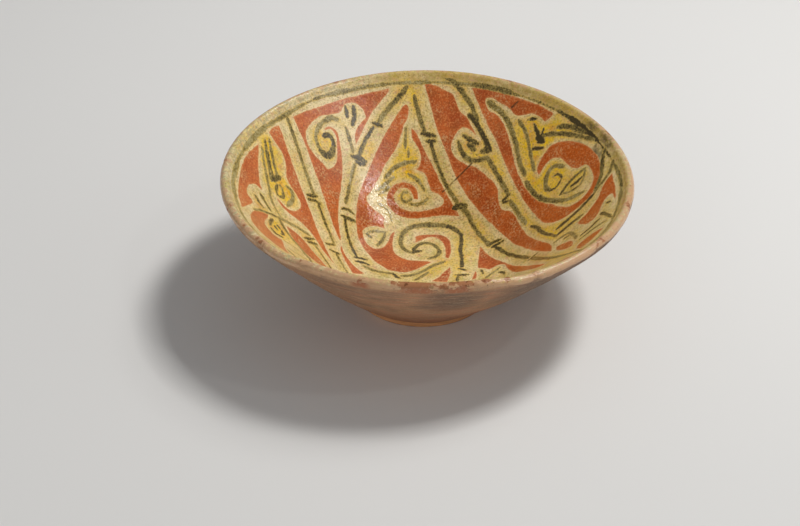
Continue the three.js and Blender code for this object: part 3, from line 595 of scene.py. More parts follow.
# Dark brush work. Each line is a list of strokes, given as a width and a path.
BRUSH_LINES: dict[str, Strokes] = {
    "line_left_straight": [
        (2, ((-71.6, 59.6), (-68.2, 53.6), (-64.6, 46.4), (-61.4, 39.4), (-58.4, 33.2), (-56.6, 30.2))),
        (1.8, ((-60.2, 27.6), (-55.4, 31))),
        (1.7, ((-59.4, 25.8), (-56.8, 27.4), (-53.6, 28))),
        (1.8, ((-54.6, 27), (-51.6, 21.2), (-48.8, 15.6), (-46.6, 11))),
        (1.5, ((-50, 6.4), (-45.8, 10.4))),
        (1.5, ((-48.2, 4), (-43.4, 6.6))),
        (1.6, ((-45, 4.8), (-42, -0.4), (-39, -5.4))),
        (1.7, ((-39.4, -5), (-36, -12), (-33, -19), (-31.2, -22))),
        (1.7, ((-38, -20.6), (-31.4, -20.2))),
        (1.6, ((-36.6, -23.6), (-30, -23.4))),
        (1.9, ((-31.6, -23), (-26, -31.2), (-20.8, -41.4), (-13, -50.4), (-6, -61.6), (-1.8, -70))),
        (1.8, ((3, -75), (-4, -74))),
        (2, ((-0.4, -73.4), (3.2, -79), (7, -88))),
    ],
    "line_left_curved": [
        (2.2, ((-10.8, 91.6), (-14.4, 88), (-18.6, 84.2), (-22.4, 80.2), (-25.4, 76.6))),
        (2, ((-28.2, 75.4), (-23.8, 75.2))),
        (1.9, ((-27.8, 74), (-31, 69), (-33.4, 64.4), (-35, 60.4), (-36.6, 57.4))),
        (2.2, ((-38.8, 58.6), (-35, 59.2), (-31.6, 59))),
        (1.8, ((-36.6, 57), (-31.8, 57.6))),
        (1.8, ((-36.8, 56.4), (-38.6, 50.4), (-39.8, 44), (-41.2, 37))),
        (1.6, ((-43, 33), (-40.4, 34.4), (-36.6, 34))),
        (1.8, ((-43, 29.6), (-39.6, 30.4), (-36.6, 31.2))),
        (1.8, ((-41.4, 29.4), (-40.2, 23), (-37.6, 16.2), (-34.8, 10.8))),
        (1.8, ((-36, 10.2), (-33, 11), (-30, 11))),
        (1.9, ((-35.4, 7.4), (-32, 8.2), (-28.8, 7.2))),
        (1.9, ((-31.4, 5.6), (-27, 2.8), (-22, 0.8), (-16.8, -0.4))),
        (1.8, ((-16.6, 0.2), (-15, -2.6), (-13, -4.6))),
        (2, ((-12.4, -2.2), (-8.2, -1.8), (-4.4, -0.2), (-0.6, 3.2), (3.4, 7.2), (9, 11))),
        (2, ((-42, 69.4), (-39.8, 65), (-38, 60.6))),
    ],
    "line_right_straight": [
        (2.4, ((-7, 88.4), (-5.2, 83.8), (-3.2, 79), (-1.4, 75.4))),
        (1.9, ((-3, 75), (4, 74))),
        (1.8, ((-0.6, 71.8), (4, 72))),
        (2.2, ((1.6, 71.6), (3.4, 67))),
        (2, ((3.2, 67.4), (6, 61.6), (9.4, 55.4), (13, 50.4), (16, 46.6))),
        (2.8, ((13.6, 45.4), (17, 45.6), (20, 44.8))),
        (2.2, ((17.6, 44.8), (20.8, 41.4), (23, 36.8), (26, 31.2), (29.6, 25.2), (31.8, 21.4))),
        (1.8, ((31, 21.8), (34.4, 22.2), (37.4, 22))),
        (1.9, ((33.2, 19.6), (38.4, 20.4))),
        (2, ((34.6, 19.4), (38.8, 13), (43, 7), (47, 1), (50.4, -4.8))),
        (1.5, ((50.2, -7.4), (55, -6.4))),
        (2, ((51.8, -7.2), (55.4, -15), (59.4, -24), (63.4, -34), (68, -45.6), (72.4, -58.2))),
    ],
    "line_right_curved": [
        (2.2, (
            (8.6, 95.6), (11.6, 94.4), (14.6, 92.2), (18.2, 88.8), (21.8, 85), (24.4, 80.6), (25.6, 77.4),
        )),
        (2.4, ((21.2, 80.8), (24.6, 77.2), (27.6, 72.8), (30, 68.6), (32.2, 64.8))),
        (2.6, ((28, 65), (32.4, 64.4))),
        (2.2, ((16, 70.8), (17.6, 67), (20.6, 63.6), (25, 62), (31, 61.8))),
        (2.2, ((30.6, 62), (33.8, 56.8), (36.8, 51), (39.4, 46), (41.2, 42.2))),
        (1.6, ((38.4, 40.4), (42, 41.8))),
        (1.6, ((38.6, 39.6), (41.6, 38.6))),
        (2, ((42.2, 38.6), (45, 32.4), (47.6, 26.4), (49.8, 21.4))),
        (1.8, ((52.2, 17.8), (54.8, 14.2), (56.6, 10), (58.4, 5.8), (61.2, 1), (64, -4.8))),
    ],
    "curl_right_veins": [
        (2.1, ((18.6, 73), (22.2, 70.6), (26, 68.6))),
        (2.2, ((20.6, 69.2), (24.4, 66.4))),
    ],
    "curl_left": [
        (2, ((-46.2, 71.2), (-50.4, 69.8), (-54.2, 66), (-56.6, 61), (-56.2, 56.6), (-53.6, 53.8))),
        (3, ((-54.4, 53.8), (-51.4, 53.4), (-49, 55.4), (-48, 58.6))),
        (2.4, ((-48, 58), (-48.2, 61), (-50.2, 62.6), (-53, 61))),
    ],
    "leaf_left_veins": [
        (2.4, ((-42.2, 77.2), (-41.4, 74))),
        (2.2, ((-38.4, 79), (-37.6, 75.4), (-38.8, 71.4))),
    ],
    "palmette_left_stem": [
        (1.5, ((-82.6, 35), (-81.4, 28), (-79, 17.6), (-77.7, 12.6), (-77.3, 8.6), (-75, 3), (-71.6, -2))),
        (2.2, ((-72, -3.2), (-67, -0.6), (-62.6, 1.4), (-58, 2.6))),
        (2, ((-72.4, -3), (-70.2, -8.4), (-66, -13.6), (-61.4, -18), (-56.4, -23.8))),
        (1.8, ((-72.6, -3.6), (-76.8, -7), (-80.6, -10.6), (-83.6, -16))),
        (1.8, ((-56.4, -23.8), (-55, -31), (-51.5, -40.6), (-46.2, -56.6), (-42.4, -69), (-34, -82))),
    ],
    "palmette_left_veins": [
        (1.6, ((-81.3, 40.2), (-80.5, 35.3), (-79.4, 30.1), (-78.3, 24.7), (-77.2, 19.7))),
        (1.7, ((-79.5, 42.3), (-78.3, 37.8), (-77.1, 32.9), (-75.6, 28.1), (-74.3, 24.4))),
        (1.3, ((-79.9, 35.7), (-78.5, 28.9), (-76.8, 23.3))),
        (2.4, ((-77.2, 20.5), (-75.4, 22.9), (-73.5, 25.9))),
        (1.6, ((-74.4, 19.8), (-74.7, 15.3), (-73.5, 13.5), (-71.3, 15.6), (-72.1, 19.9), (-73.3, 20.9))),
        (2, ((-70, 23.6), (-67.7, 23), (-66.9, 19.3), (-69.1, 11.1))),
    ],
    "leaf_left_low_veins": [
        (1.9, ((-81.6, 3.8), (-79.4, 0.6), (-76.4, -3.2))),
        (1.7, ((-83.6, -1), (-82, -4), (-79.8, -5.6))),
        (1.1, ((-69.1, -25.5), (-64.8, -23.4), (-60.4, -23), (-56, -21.3))),
        (1.1, ((-65.4, -33.1), (-61.1, -30.9), (-57.9, -28.8))),
    ],
    "drop_leaf_veins": [
        (1.6, ((-75, -9.8), (-75.8, -14), (-75.8, -18.6))),
        (1.6, ((-70.4, -14.4), (-69.6, -17.6), (-70.4, -19.4))),
        (1.9, ((-73.6, -15.6), (-72.6, -17.6))),
        (1.7, ((-72.8, -12.2), (-71.4, -14.2))),
        (2, ((-75, -21.6), (-72.6, -24.2), (-70, -22))),
    ],
    "line_left_short": [
        (1.6, ((-60, -3.2), (-57.8, 0), (-55.8, 2.6))),
        (1.6, ((-58.6, -4.2), (-54.4, 0.2))),
        (1.7, ((-55.6, -1.2), (-51.4, -6.4), (-47.4, -12.2))),
        (1.7, (
            (-47.4, -12.2), (-45.4, -18), (-44.2, -25), (-42.6, -34), (-39.4, -45), (-34, -56.4),
            (-31, -64),
        )),
        (2.1, ((-16, -70.8), (-17.6, -67), (-20.6, -63.6), (-25, -62), (-32, -62.4))),
        (2.2, ((-31, -64), (-27.6, -72.8), (-22.6, -80.6), (-17, -88.6))),
    ],
    "palmette_middle_veins": [
        (1.7, ((-11.2, 76), (-11.4, 69))),
        (1.8, ((-21.6, 55.4), (-17, 60), (-12, 62.8), (-6, 64))),
        (1.5, ((-26.2, 48.7), (-22.9, 51.4), (-19.7, 54.3), (-17.1, 56.5))),
        (1.3, ((-24.8, 47.7), (-21.6, 50.2), (-18.4, 53))),
        (1.4, ((-24.8, 43.9), (-21.5, 43.6), (-19.2, 42.1), (-17.8, 38.7))),
        (1.7, ((-9.6, 58.8), (-5.4, 57.4), (-1.4, 53.4))),
        (1.5, ((-9.1, 47.5), (-5.8, 47.5), (-2.5, 48.2), (0.1, 49.9))),
        (1.3, ((-7.8, 49.5), (-10.7, 48), (-13.1, 49), (-12.4, 51.1), (-9.8, 51.9))),
        (1.6, ((-9.8, 68.4), (-9.8, 65.4))),
    ],
    "scroll_middle": [
        (2.2, ((17.6, 6.6), (17.8, 14), (17.2, 21), (17.6, 28), (17, 33), (13.4, 36.4), (9.6, 38.4))),
        (2.4, (
            (10, 38.2), (4, 39), (-3, 39), (-8.6, 37.2), (-12.4, 33), (-13, 27), (-11, 21.6),
            (-7.4, 18.8),
        )),
        (2.2, (
            (-6.4, 18.6), (-6.2, 22.6), (-3.6, 26.6), (0.6, 27.8), (4.6, 25), (6.6, 20), (5, 15.8),
            (1, 13.4),
        )),
        (2.4, ((-7.6, 19), (-3, 20.6))),
    ],
    "leaf_middle_veins": [
        (1.6, ((-30.6, 28), (-27, 31), (-21.4, 32.4))),
        (1.8, ((-21.2, 32.2), (-22, 28.4), (-24.8, 23.4))),
        (1.7, ((-30.6, 28), (-28.2, 27.2))),
    ],
    "centre_vein": [
        (1.8, ((-5.6, -6), (-2.4, -2.8), (1, 1.4))),
    ],
    "leaf_right_low_veins": [
        (1.7, ((27.6, 3.6), (28.4, 0.4))),
        (1.7, ((29.6, -3.6), (32.8, -0.2), (36.4, 2.4))),
        (1.7, ((36, -1), (38, -3), (38.6, -5))),
    ],
    "palmette_right_line": [
        (2.2, (
            (31, 83.6), (35.6, 80.2), (40, 75.4), (43.2, 68.8), (45.4, 61.6), (46.8, 54.6), (49.6, 46.4),
        )),
        (2.2, ((50.2, 43.2), (53, 36.8), (56.4, 31), (60.6, 26), (65, 21.6), (69.6, 17.8), (77, 14.6))),
        (1.8, ((46.4, 72), (49.4, 67.6), (51.4, 61), (52.6, 54), (54.2, 46.4))),
    ],
    "palmette_right_branch": [
        (1.5, ((51.4, 70.6), (55.6, 69))),
        (1.9, ((54.4, 67.4), (56, 63), (57.6, 58.4))),
        (3.6, ((56.4, 60.6), (58.6, 57.6))),
        (1.8, ((53.6, 56.8), (58.6, 54.6))),
        (1.7, ((59, 63), (57.6, 60))),
        (2, ((57.1, 60.2), (61.2, 59.4), (68.8, 55.3), (76.1, 49.1), (83.4, 41.5))),
        (2.2, ((66, 60), (70.6, 57.4), (75.4, 53), (79.8, 47.8))),
    ],
    "palmette_right_eyes": [
        (2.1, (
            (68.4, 38.6), (65.4, 41.5), (62.5, 42.2), (60.6, 40.2), (59.6, 36.8), (59.9, 33.5),
            (61.7, 30.7),
        )),
        (1.4, ((61.7, 30.7), (64.5, 30.2), (66.4, 31.6), (67.4, 33.7), (65.6, 36.5), (63.4, 37.2))),
        (1.9, ((66.5, 24.2), (70.9, 27.5), (75.6, 28.7), (78.7, 29))),
        (2.1, ((72.1, 24.5), (74.2, 24.4), (76.7, 24.8))),
        (1.4, ((71.8, 21.7), (73.2, 21.2), (74.9, 21.2))),
        (1.3, ((67.1, 23.8), (71.1, 21.6), (75.3, 20.8), (77.6, 23.5), (78.5, 28.3))),
    ],
    "branch_right_low": [
        (2.4, ((64.4, 2), (70, 2.6), (76.4, 4.4), (81.8, 7.2))),
        (2.5, ((64, -3.6), (70, -3), (76, -2.8))),
        (1.9, ((91.7, 21), (90, 15.6), (87.4, 12.1), (84, 9.5), (81.4, 6.7))),
        (2, ((88.3, 32.3), (86.8, 25.6), (86.1, 18.5), (84.4, 12.9), (82.2, 9.8))),
        (1.8, ((62.6, -8.8), (68.6, -9.8), (71, -15), (72.2, -24))),
        (1.9, ((67.2, -12.6), (68.6, -13.6))),
        (2, ((87.4, -9.4), (88.4, -10.6))),
        (1.8, ((84, -15.6), (86.2, -22), (88, -28.6))),
        (2.2, ((74.4, -24.6), (79, -23.4), (82.6, -21))),
        (2.2, ((74, -29.4), (79, -28.6), (85, -29.2))),
    ],
    "leaf_hidden_veins": [
        (2, ((-66, -38.6), (-61, -46), (-54.6, -57), (-48, -69.4))),
        (1.8, ((-58.8, -39.8), (-54.8, -48), (-50.4, -58))),
        (1.8, ((-62, -53), (-58.6, -58.6), (-54, -65))),
    ],
    "scroll_foot": [
        (1.8, ((16, 4.6), (20, 3.4))),
        (1.9, ((14.6, -1), (18, -0.8), (21, -0.4))),
        (1.8, ((15.8, -1.4), (15.4, -6.4))),
    ],
}

# The hidden front's own curved line shares most strokes with the far one, half a turn round
FRONT_STROKES = restroked(BRUSH_LINES["line_left_curved"])
BRUSH_LINES["line_front_curved"] = [
    *FRONT_STROKES[:4], FRONT_STROKES[5],
    (1.7, ((43, -33.2), (36.8, -33.8))),
    (1.8, ((41.4, -31), (41, -24), (39.4, -20), (36.4, -12.6))),
    FRONT_STROKES[14],
]

# Lines of the hidden front, and the far ones that they repeat half a turn round
HIDDEN_LINES: dict[str, str] = {
    "curl_front": "curl_left", "scroll_front": "scroll_middle", "leaf_front_veins": "leaf_left_veins",
    "bud_front_veins": "leaf_middle_veins", "palmette_front_veins": "palmette_middle_veins",
    "curl_front_veins": "curl_right_veins",
}
BRUSH_LINES |= {front: restroked(BRUSH_LINES[back]) for front, back in HIDDEN_LINES.items()}
# The front scroll's stem stops short of the middle
BRUSH_LINES["scroll_front"][0] = (
    2.2, ((-17.8, -13), (-17.2, -21), (-17.6, -28), (-17, -33), (-13.4, -36.4), (-9.6, -38.4)),
)

# CAD nodes that a brush line stands for, where their names differ
LINE_NODES: dict[str, tuple[str, ...]] = {
    "curl_right_veins": ("curl_right_vein",),
    "leaf_left_veins": ("leaf_left_vein",),
    "palmette_left_veins": ("palmette_left_vein", "palmette_left_bud"),
    "drop_leaf_veins": ("drop_leaf_vein",),
    "palmette_middle_veins": ("palmette_middle_upper", "palmette_middle_lower"),
    "leaf_middle_veins": ("leaf_middle_vein",),
    "palmette_right_line": ("palmette_right_line", "palmette_right_inner"),
    "palmette_right_eyes": ("palmette_right_eye", "palmette_right_lid"),
    "branch_right_low": ("branch_right_upper", "branch_right_lower", "leaf_right_stem"),
}

# Fields and lines that are details of the picture and stand for no CAD node
DETAILS = frozenset((
    "stem_sliver", "leaf_left_low_veins", "centre_vein", "leaf_right_low_veins", "leaf_front_veins",
    "bud_front_veins", "palmette_front_veins", "curl_front_veins", "leaf_hidden_veins",
))

# Lines where the brush held less or more slip than usual, as a share of the usual load
LINE_LOADS: dict[str, float] = {
    "palmette_middle_veins": 0.5, "palmette_left_veins": 0.95, "branch_right_low": 1.1,
    "palmette_right_branch": 1.5, "palmette_right_eyes": 0.9, "line_left_straight": 0.85,
    "palmette_left_stem": 0.8, "leaf_left_low_veins": 0.75, "palmette_right_line": 0.8,
}


# Finishes


@dataclass(frozen=True)
class Drift:
    """A patchy change towards one colour, where a noise passes from start to full."""

    tint: Colour
    size: float
    detail: float
    shift: float
    start: float
    full: float
    strength: float = 1.0
    stretch: Point = (1, 1, 1)

    def over(self, shader: Shader, colour: Any, where: Any = 1.0) -> Value:
        """The colour with the drift laid over it, by the share that is let through at each place."""
        noise = shader.noise(self.size, self.detail, self.shift, self.stretch)
        return shader.mix(noise.rise(self.start, self.full) * self.strength * where, colour, self.tint)


@dataclass(frozen=True)
class Glazed:
    """What the clear glaze gives to any slip below it: a broken gloss, fine pits, grains and old marks.

    Each pair of radii is where a change of the gloss starts and where it is complete.
    """

    ior: float = 1.5
    roughness: float = 0.11
    wear: float = 0.16
    thin: float = 0.2
    thin_wall: Point = (54, 68)
    thick_lip: Point = (95.2, 96.6)
    thick_share: float = 0.6
    scoured: float = 0.5
    scoured_floor: Point = (44, 36)
    peel: float = 2.4
    peel_detail: float = 2.5
    pit: float = 2.6
    pit_reach: float = 0.2
    relief: float = 0.2
    fleck: float = 0.95
    mend: Drift = Drift(srgb(92, 66, 40), 5, 3, 57, 0.3, 0.5, 0.9)
    mends: tuple[tuple[Point, Point, float], ...] = (
        ((22.8, 61.4), (8, 52.4), 0.55), ((46.1, 79.2), (43.2, 78.4), 0.7),
    )
    grime: Drift = Drift(srgb(84, 70, 40), 14, 2, 3, 0.42, 0.6, 0.75)
    grime_specks: Point = (2.4, 0.17, 12)

    def flecked(
        self, shader: Shader, colour: Value, tint: Colour, shift: float, strength: Any,
    ) -> Value:
        """The colour with grains of a tint in it, each about as wide as a few hairs of the brush."""
        return shader.mix(self.flecks(shader, shift) * strength, colour, tint)

    def flecks(self, shader: Shader, shift: float, size: float = 1.0) -> Value:
        """Where the grains lie, and their size as a share of the usual one."""
        return shader.noise(self.fleck * size, 2, shift).rise(0.49, 0.63)

    def gloss(self, shader: Shader) -> Value:
        """Roughness of the glaze: thinner up the wall, thicker on the lip and scoured on the floor."""
        lip = 1 - shader.radius.rise(*self.thick_lip) * self.thick_share
        thin = shader.radius.rise(*self.thin_wall) * lip * self.thin
        scoured = shader.radius.rise(*self.scoured_floor) * self.scoured
        return self.roughness + thin + scoured + (shader.noise(11, 4, 31) - 0.5) * self.wear

    def close(self, shader: Shader, colour: Value) -> bpy.types.Material:
        """Finishes a glazed slip's material with the old mends, pits and grime that cross every slip."""
        first, second = (shader.seam(*mend) for mend in self.mends)
        colour = self.mend.over(shader, colour, first.higher(second))
        colour = self.grime.over(shader, colour, shader.specks(*self.grime_specks))
        skin = shader.noise(self.peel, self.peel_detail) - shader.specks(self.pit, self.pit_reach) * 0.5
        return shader.finish({
            "Base Color": colour, "Roughness": self.gloss(shader),
            "Normal": shader.bump(skin, self.relief), "IOR": self.ior,
        })


@dataclass(frozen=True)
class CreamSlip(Glazed):
    """Cream slip, grained, stained yellow beside the brush lines and worn along the lip.

    Each pair of numbers is where a change starts and where it is complete, in x or in radius.
    """

    cream: Colour = srgb(216, 192, 122)
    pale: Drift = Drift(srgb(236, 217, 164), 12, 4, 5, 0.4, 0.64)
    gold: Drift = Drift(srgb(218, 178, 84), 9, 4, 71, 0.48, 0.64)
    gold_side: Point = (-50, 40)
    moss: Drift = Drift(srgb(182, 172, 98), 5, 4, 19, 0.48, 0.62, 0.6)
    blush: Drift = Drift(srgb(228, 180, 132), 4, 4, 37, 0.55, 0.68, 0.5)
    # Chalky white drifts; the same white is laid on the rim band's left as a painted highlight
    chalk_and_highlight: Drift = Drift(srgb(228, 216, 178), 7, 4, 29, 0.36, 0.6, 0.45)
    chalk_side: Point = (5, -70)
    yellow: Colour = srgb(240, 196, 10)
    amber: Drift = Drift(srgb(226, 162, 46), 8, 3, 63, 0.5, 0.7)
    edge: Colour = srgb(238, 212, 162)
    grit: Colour = srgb(142, 114, 54)
    band: Point = (93.0, 95.2)
    smear: Colour = srgb(150, 140, 100)
    smear_side: Point = (0, -70)
    umber: Colour = srgb(176, 148, 76)
    umber_side: Point = (-60, 20)
    umber_edge: Point = (99.4, 97.4)
    # Pale colour of the painted highlight along the outer crown of the lip at the right
    lip_highlight: Colour = srgb(194, 176, 140)
    lip_highlight_side: Point = (15, 80)
    lip_highlight_edge: Point = (96.6, 98.4)
    soot: Drift = Drift(srgb(104, 92, 60), 6, 4, 26, 0.36, 0.6)
    soot_spots: Points = ((87, 35, 11, 3), (80, 47, 9, 3))
    wash: Colour = srgb(204, 160, 122)
    rust: Colour = srgb(158, 98, 62)
    scar: Drift = Drift(srgb(112, 66, 42), 2.6, 3, 81, 0.54, 0.62, 0.7)

    def ground(self, shader: Shader) -> Value:
        """Cream with paler, yellower, greener, pinker and chalkier drifts."""
        colour = self.pale.over(shader, self.cream)
        colour = self.gold.over(shader, colour, 0.2 + shader.x.rise(*self.gold_side) * 0.4)
        colour = self.blush.over(shader, self.moss.over(shader, colour))
        return self.chalk_and_highlight.over(shader, colour, shader.x.rise(*self.chalk_side))

    def stained(self, shader: Shader, colour: Value) -> Value:
        """Yellow bled from the brush lines, and grains all over it, paler along the red fields."""
        border = shader.attribute("border") * (0.3 + shader.noise(2.2, 3, 14) * 1.2)
        stain = shader.attribute("stain") * (1 - border * 0.6)
        yellow = (stain * (0.35 + shader.noise(3, 5, 23) * 1.4)).lower(1.0)
        colour = shader.mix(yellow, colour, self.amber.over(shader, self.yellow))
        colour = shader.mix(border * 0.6, colour, self.edge)
        colour = self.flecked(shader, colour, self.grit, 88, 0.55 - yellow * 0.15)
        return self.flecked(shader, colour, self.pale.tint, 95, 0.5 - yellow * 0.4)

    def rim(self, shader: Shader, colour: Value) -> Value:
        """The band outside the ring: smeared grey with a painted highlight at the left, brown at the right
        with a painted highlight along the outer crown, and soot.
        """
        streak = shader.noise(2.2, 5, 41)
        band = shader.radius.rise(*self.band)
        left = band * shader.x.rise(*self.smear_side)
        # Painted highlight: the band's left is whitened in streaks
        colour = shader.mix(left * streak.rise(0.4, 0.6) * 0.4, colour, self.chalk_and_highlight.tint)
        colour = shader.mix(left * streak.rise(0.46, 0.66) * 0.65, colour, self.smear)
        right = band * shader.x.rise(*self.umber_side) * shader.radius.rise(*self.umber_edge)
        colour = shader.mix(right * (0.3 + streak.rise(0.36, 0.62) * 0.4), colour, self.umber)
        # Painted highlight: a pale streak along the outer crown of the lip at the right
        highlit_crown = shader.x.rise(*self.lip_highlight_side) * shader.radius.rise(*self.lip_highlight_edge)
        colour = shader.mix(highlit_crown * (0.35 + streak.rise(0.4, 0.6) * 0.45), colour, self.lip_highlight)
        return self.soot.over(shader, colour, shader.spots(self.soot_spots) * (0.5 + streak * 0.6))

    def lip(self, shader: Shader, colour: Value) -> Value:
        """The lip, where the slip is rubbed thin, flaked to rust and scarred."""
        broken = shader.noise(2.2, 5, 77, (1, 1, 2.5)) - 0.5
        worn = shader.attribute("worn") + broken * 2.2
        colour = shader.mix(worn.rise(0.05, 0.6) * 0.9, colour, self.wash)
        chipped = shader.attribute("chipped")
        flaked = chipped + (shader.noise(3, 4, 66) - 0.5) * 2.4 + broken * 0.6
        colour = shader.mix(flaked.rise(0.5, 0.8) * 0.8, colour, self.rust)
        return self.scar.over(shader, colour, chipped)

    def material(self) -> bpy.types.Material:
        """Builds the material."""
        shader = Shader("cream_slip_under_glaze")
        colour = self.rim(shader, self.stained(shader, self.ground(shader)))
        return self.close(shader, self.lip(shader, colour))


@dataclass(frozen=True)
class RedSlip(Glazed):
    """Brick-red slip, grained with orange and cream, thinner and paler towards its edges, with a painted
    pink sheen towards the left.
    """

    deep: Colour = srgb(174, 80, 34)
    red: Drift = Drift(srgb(199, 102, 46), 13, 4, 8, 0.38, 0.64)
    brown: Drift = Drift(srgb(152, 86, 40), 6, 4, 33, 0.5, 0.66, 0.45)
    rose_sheen: Colour = srgb(214, 126, 82)
    rose_sheen_side: Point = (-10, -80)
    tawny: Colour = srgb(196, 92, 14)
    tawny_side: Point = (30, 75)
    orange: Colour = srgb(218, 142, 82)
    dark: Colour = srgb(134, 58, 28)
    cream: Drift = Drift(srgb(224, 188, 134), 10, 3, 44, 0.42, 0.66, 0.5)

    def material(self) -> bpy.types.Material:
        """Builds the material."""
        shader = Shader("red_slip_under_glaze")
        colour = self.brown.over(shader, self.red.over(shader, self.deep))
        # Painted sheen: a pinkish veil over the red towards the left; towards the right the red is tinted a
        # deeper orange
        colour = shader.mix(shader.x.rise(*self.rose_sheen_side) * 0.35, colour, self.rose_sheen)
        colour = shader.mix(shader.x.rise(*self.tawny_side) * 0.75, colour, self.tawny)
        colour = self.flecked(shader, colour, self.orange, 15, 0.6)
        colour = self.flecked(shader, colour, self.dark, 48, 0.35)
        colour = self.cream.over(shader, colour, self.flecks(shader, 71, 1.2))
        depth = shader.attribute("depth") + (shader.noise(1.3, 3, 17) - 0.5) * 1.2
        colour = shader.mix(depth.rise(1.0, 0.1) * 0.5, colour, self.orange)
        return self.close(shader, shader.mix(depth.rise(0.35, -0.1) * 0.6, colour, self.cream.tint))


@dataclass(frozen=True)
class DarkSlip(Glazed):
    """Olive-brown brush slip, darker where the brush held more and yellow where it bled."""

    smear: Colour = srgb(176, 162, 112)
    olive: Colour = srgb(142, 124, 66)
    dark: Colour = srgb(76, 66, 42)
    bled: Colour = srgb(206, 174, 94)

    def material(self) -> bpy.types.Material:
        """Builds the material."""
        shader = Shader("dark_slip_under_glaze")
        streak, grain = shader.noise(5, 4, 27) - 0.5, shader.noise(0.9, 3, 9) - 0.5
        load = shader.attribute("load") + streak * 1.1 + grain * 2.2
        colour = shader.mix(load.rise(0.0, 0.4), self.smear, self.olive)
        colour = shader.mix(load.rise(0.4, 0.95), colour, self.dark)
        depth = shader.attribute("depth") + (shader.noise(0.9, 3, 52) - 0.5) * 1.9
        return self.close(shader, shader.mix(depth.rise(0.5, 0.05) * 0.9, colour, self.bled))


@dataclass(frozen=True)
class BareClay:
    """Unglazed buff-pink clay with the marks of wiping, handling and smoke, and painted shade towards its
    sides.

    Each patch is a plan point, a reach and a core. Each pair is where a change starts and is complete.
    """

    ior: float = 1.45
    roughness: float = 0.82
    wear: float = 0.2
    relief: float = 0.22
    buff: Colour = srgb(180, 138, 100)
    pink: Colour = srgb(196, 138, 102)
    orange: Colour = srgb(176, 110, 72)
    orange_foot: Point = (34, 8)
    # Grey-brown of smoke, also used as painted shade towards the sides
    smoke_and_shade: Colour = srgb(104, 87, 72)
    dust: Colour = srgb(200, 172, 144)
    wash: Colour = srgb(198, 158, 118)
    wash_lip: Point = (63, 66.5)
    rust: Colour = srgb(174, 112, 78)
    rust_lip: Point = (63.4, 65.6)
    lines: Drift = Drift(smoke_and_shade, 16, 4, 45, 0.5, 0.66, 0.16, (1, 1, 24))
    wiped: Drift = Drift(dust, 9, 4, 83, 0.54, 0.68, 0.5, (1, 1, 22))
    dirt: Drift = Drift(smoke_and_shade, 1.0, 3, 91, 0.56, 0.72, 0.4)
    smudges: Points = (
        (13, -88, 22, 6.6), (-22, -95, 18, 5.4), (-42, -86, 24, 7.2), (42, -76, 24, 7.2),
        (62, -60, 26, 7.8), (60, 66, 34, 10.2), (-70, 30, 30, 9),
    )
    blots: Points = ((12, -90, 21, 5), (46, -76, 22, 5))
    bruises: Points = (
        (-4, -100, 12, 3.6), (14, -98, 9, 2.7), (-30, -95, 6, 1.8), (-95, -30, 9, 2.7), (80, 60, 10, 3),
        (-50, 86, 9, 2.7),
    )

    def smoked(self, shader: Shader, colour: Value, low: Value) -> Value:
        """Painted shade towards both sides, and smoke in wiped smudges and in two dark blots, with little of
        it near the foot.
        """
        # Painted shade: the outside darkens towards its left and, more, its right side
        side_shade = (shader.x.rise(20, 70) * 0.7).higher(shader.x.rise(-15, -75) * 0.35)
        colour = shader.mix(side_shade, colour, self.smoke_and_shade)
        smudge = shader.noise(26, 4, 52, (1, 1, 2.5)).rise(0.5, 0.64).higher(shader.spots(self.smudges))
        wipe = 0.25 + shader.noise(15, 5, 6, (1, 1, 7)).rise(0.3, 0.66) * 0.75
        colour = shader.mix(smudge * wipe * (1 - low * 0.8) * 0.55, colour, self.smoke_and_shade)
        blot = shader.spots(self.blots) * (0.25 + shader.noise(6, 4, 36).rise(0.3, 0.6) * 0.4)
        return shader.mix(blot * (1 - low), colour, self.smoke_and_shade)

    def material(self) -> bpy.types.Material:
        """Builds the material."""
        shader = Shader("bare_clay")
        streaks = shader.noise(14, 5, 4, (1, 1, 14))
        colour = shader.mix(streaks.rise(0.4, 0.62), self.buff, self.pink)
        low = shader.z.rise(*self.orange_foot)
        colour = shader.mix(low * (0.4 + streaks * 0.5), colour, self.orange)
        colour = self.lines.over(shader, self.smoked(shader, colour, low))
        colour = self.wiped.over(shader, colour)
        broken = shader.noise(3, 5, 68)
        washed = shader.z.rise(*self.wash_lip) * broken.rise(0.25, 0.55)
        colour = shader.mix(washed * 0.9, colour, self.wash)
        bruised = shader.z.rise(*self.rust_lip) * shader.spots(self.bruises) * broken.rise(0.3, 0.5)
        colour = shader.mix(bruised, colour, self.rust)
        grit = shader.noise(0.9, 3, 2)
        colour = shader.mix(grit.rise(0.54, 0.7) * 0.35, colour, self.dust)
        skin = grit * 0.5 + shader.noise(12, 4, 11, (1, 1, 20))
        return shader.finish({
            "Base Color": self.dirt.over(shader, colour),
            "Roughness": self.roughness + (streaks - 0.5) * self.wear,
            "Normal": shader.bump(skin, self.relief), "IOR": self.ior,
        })


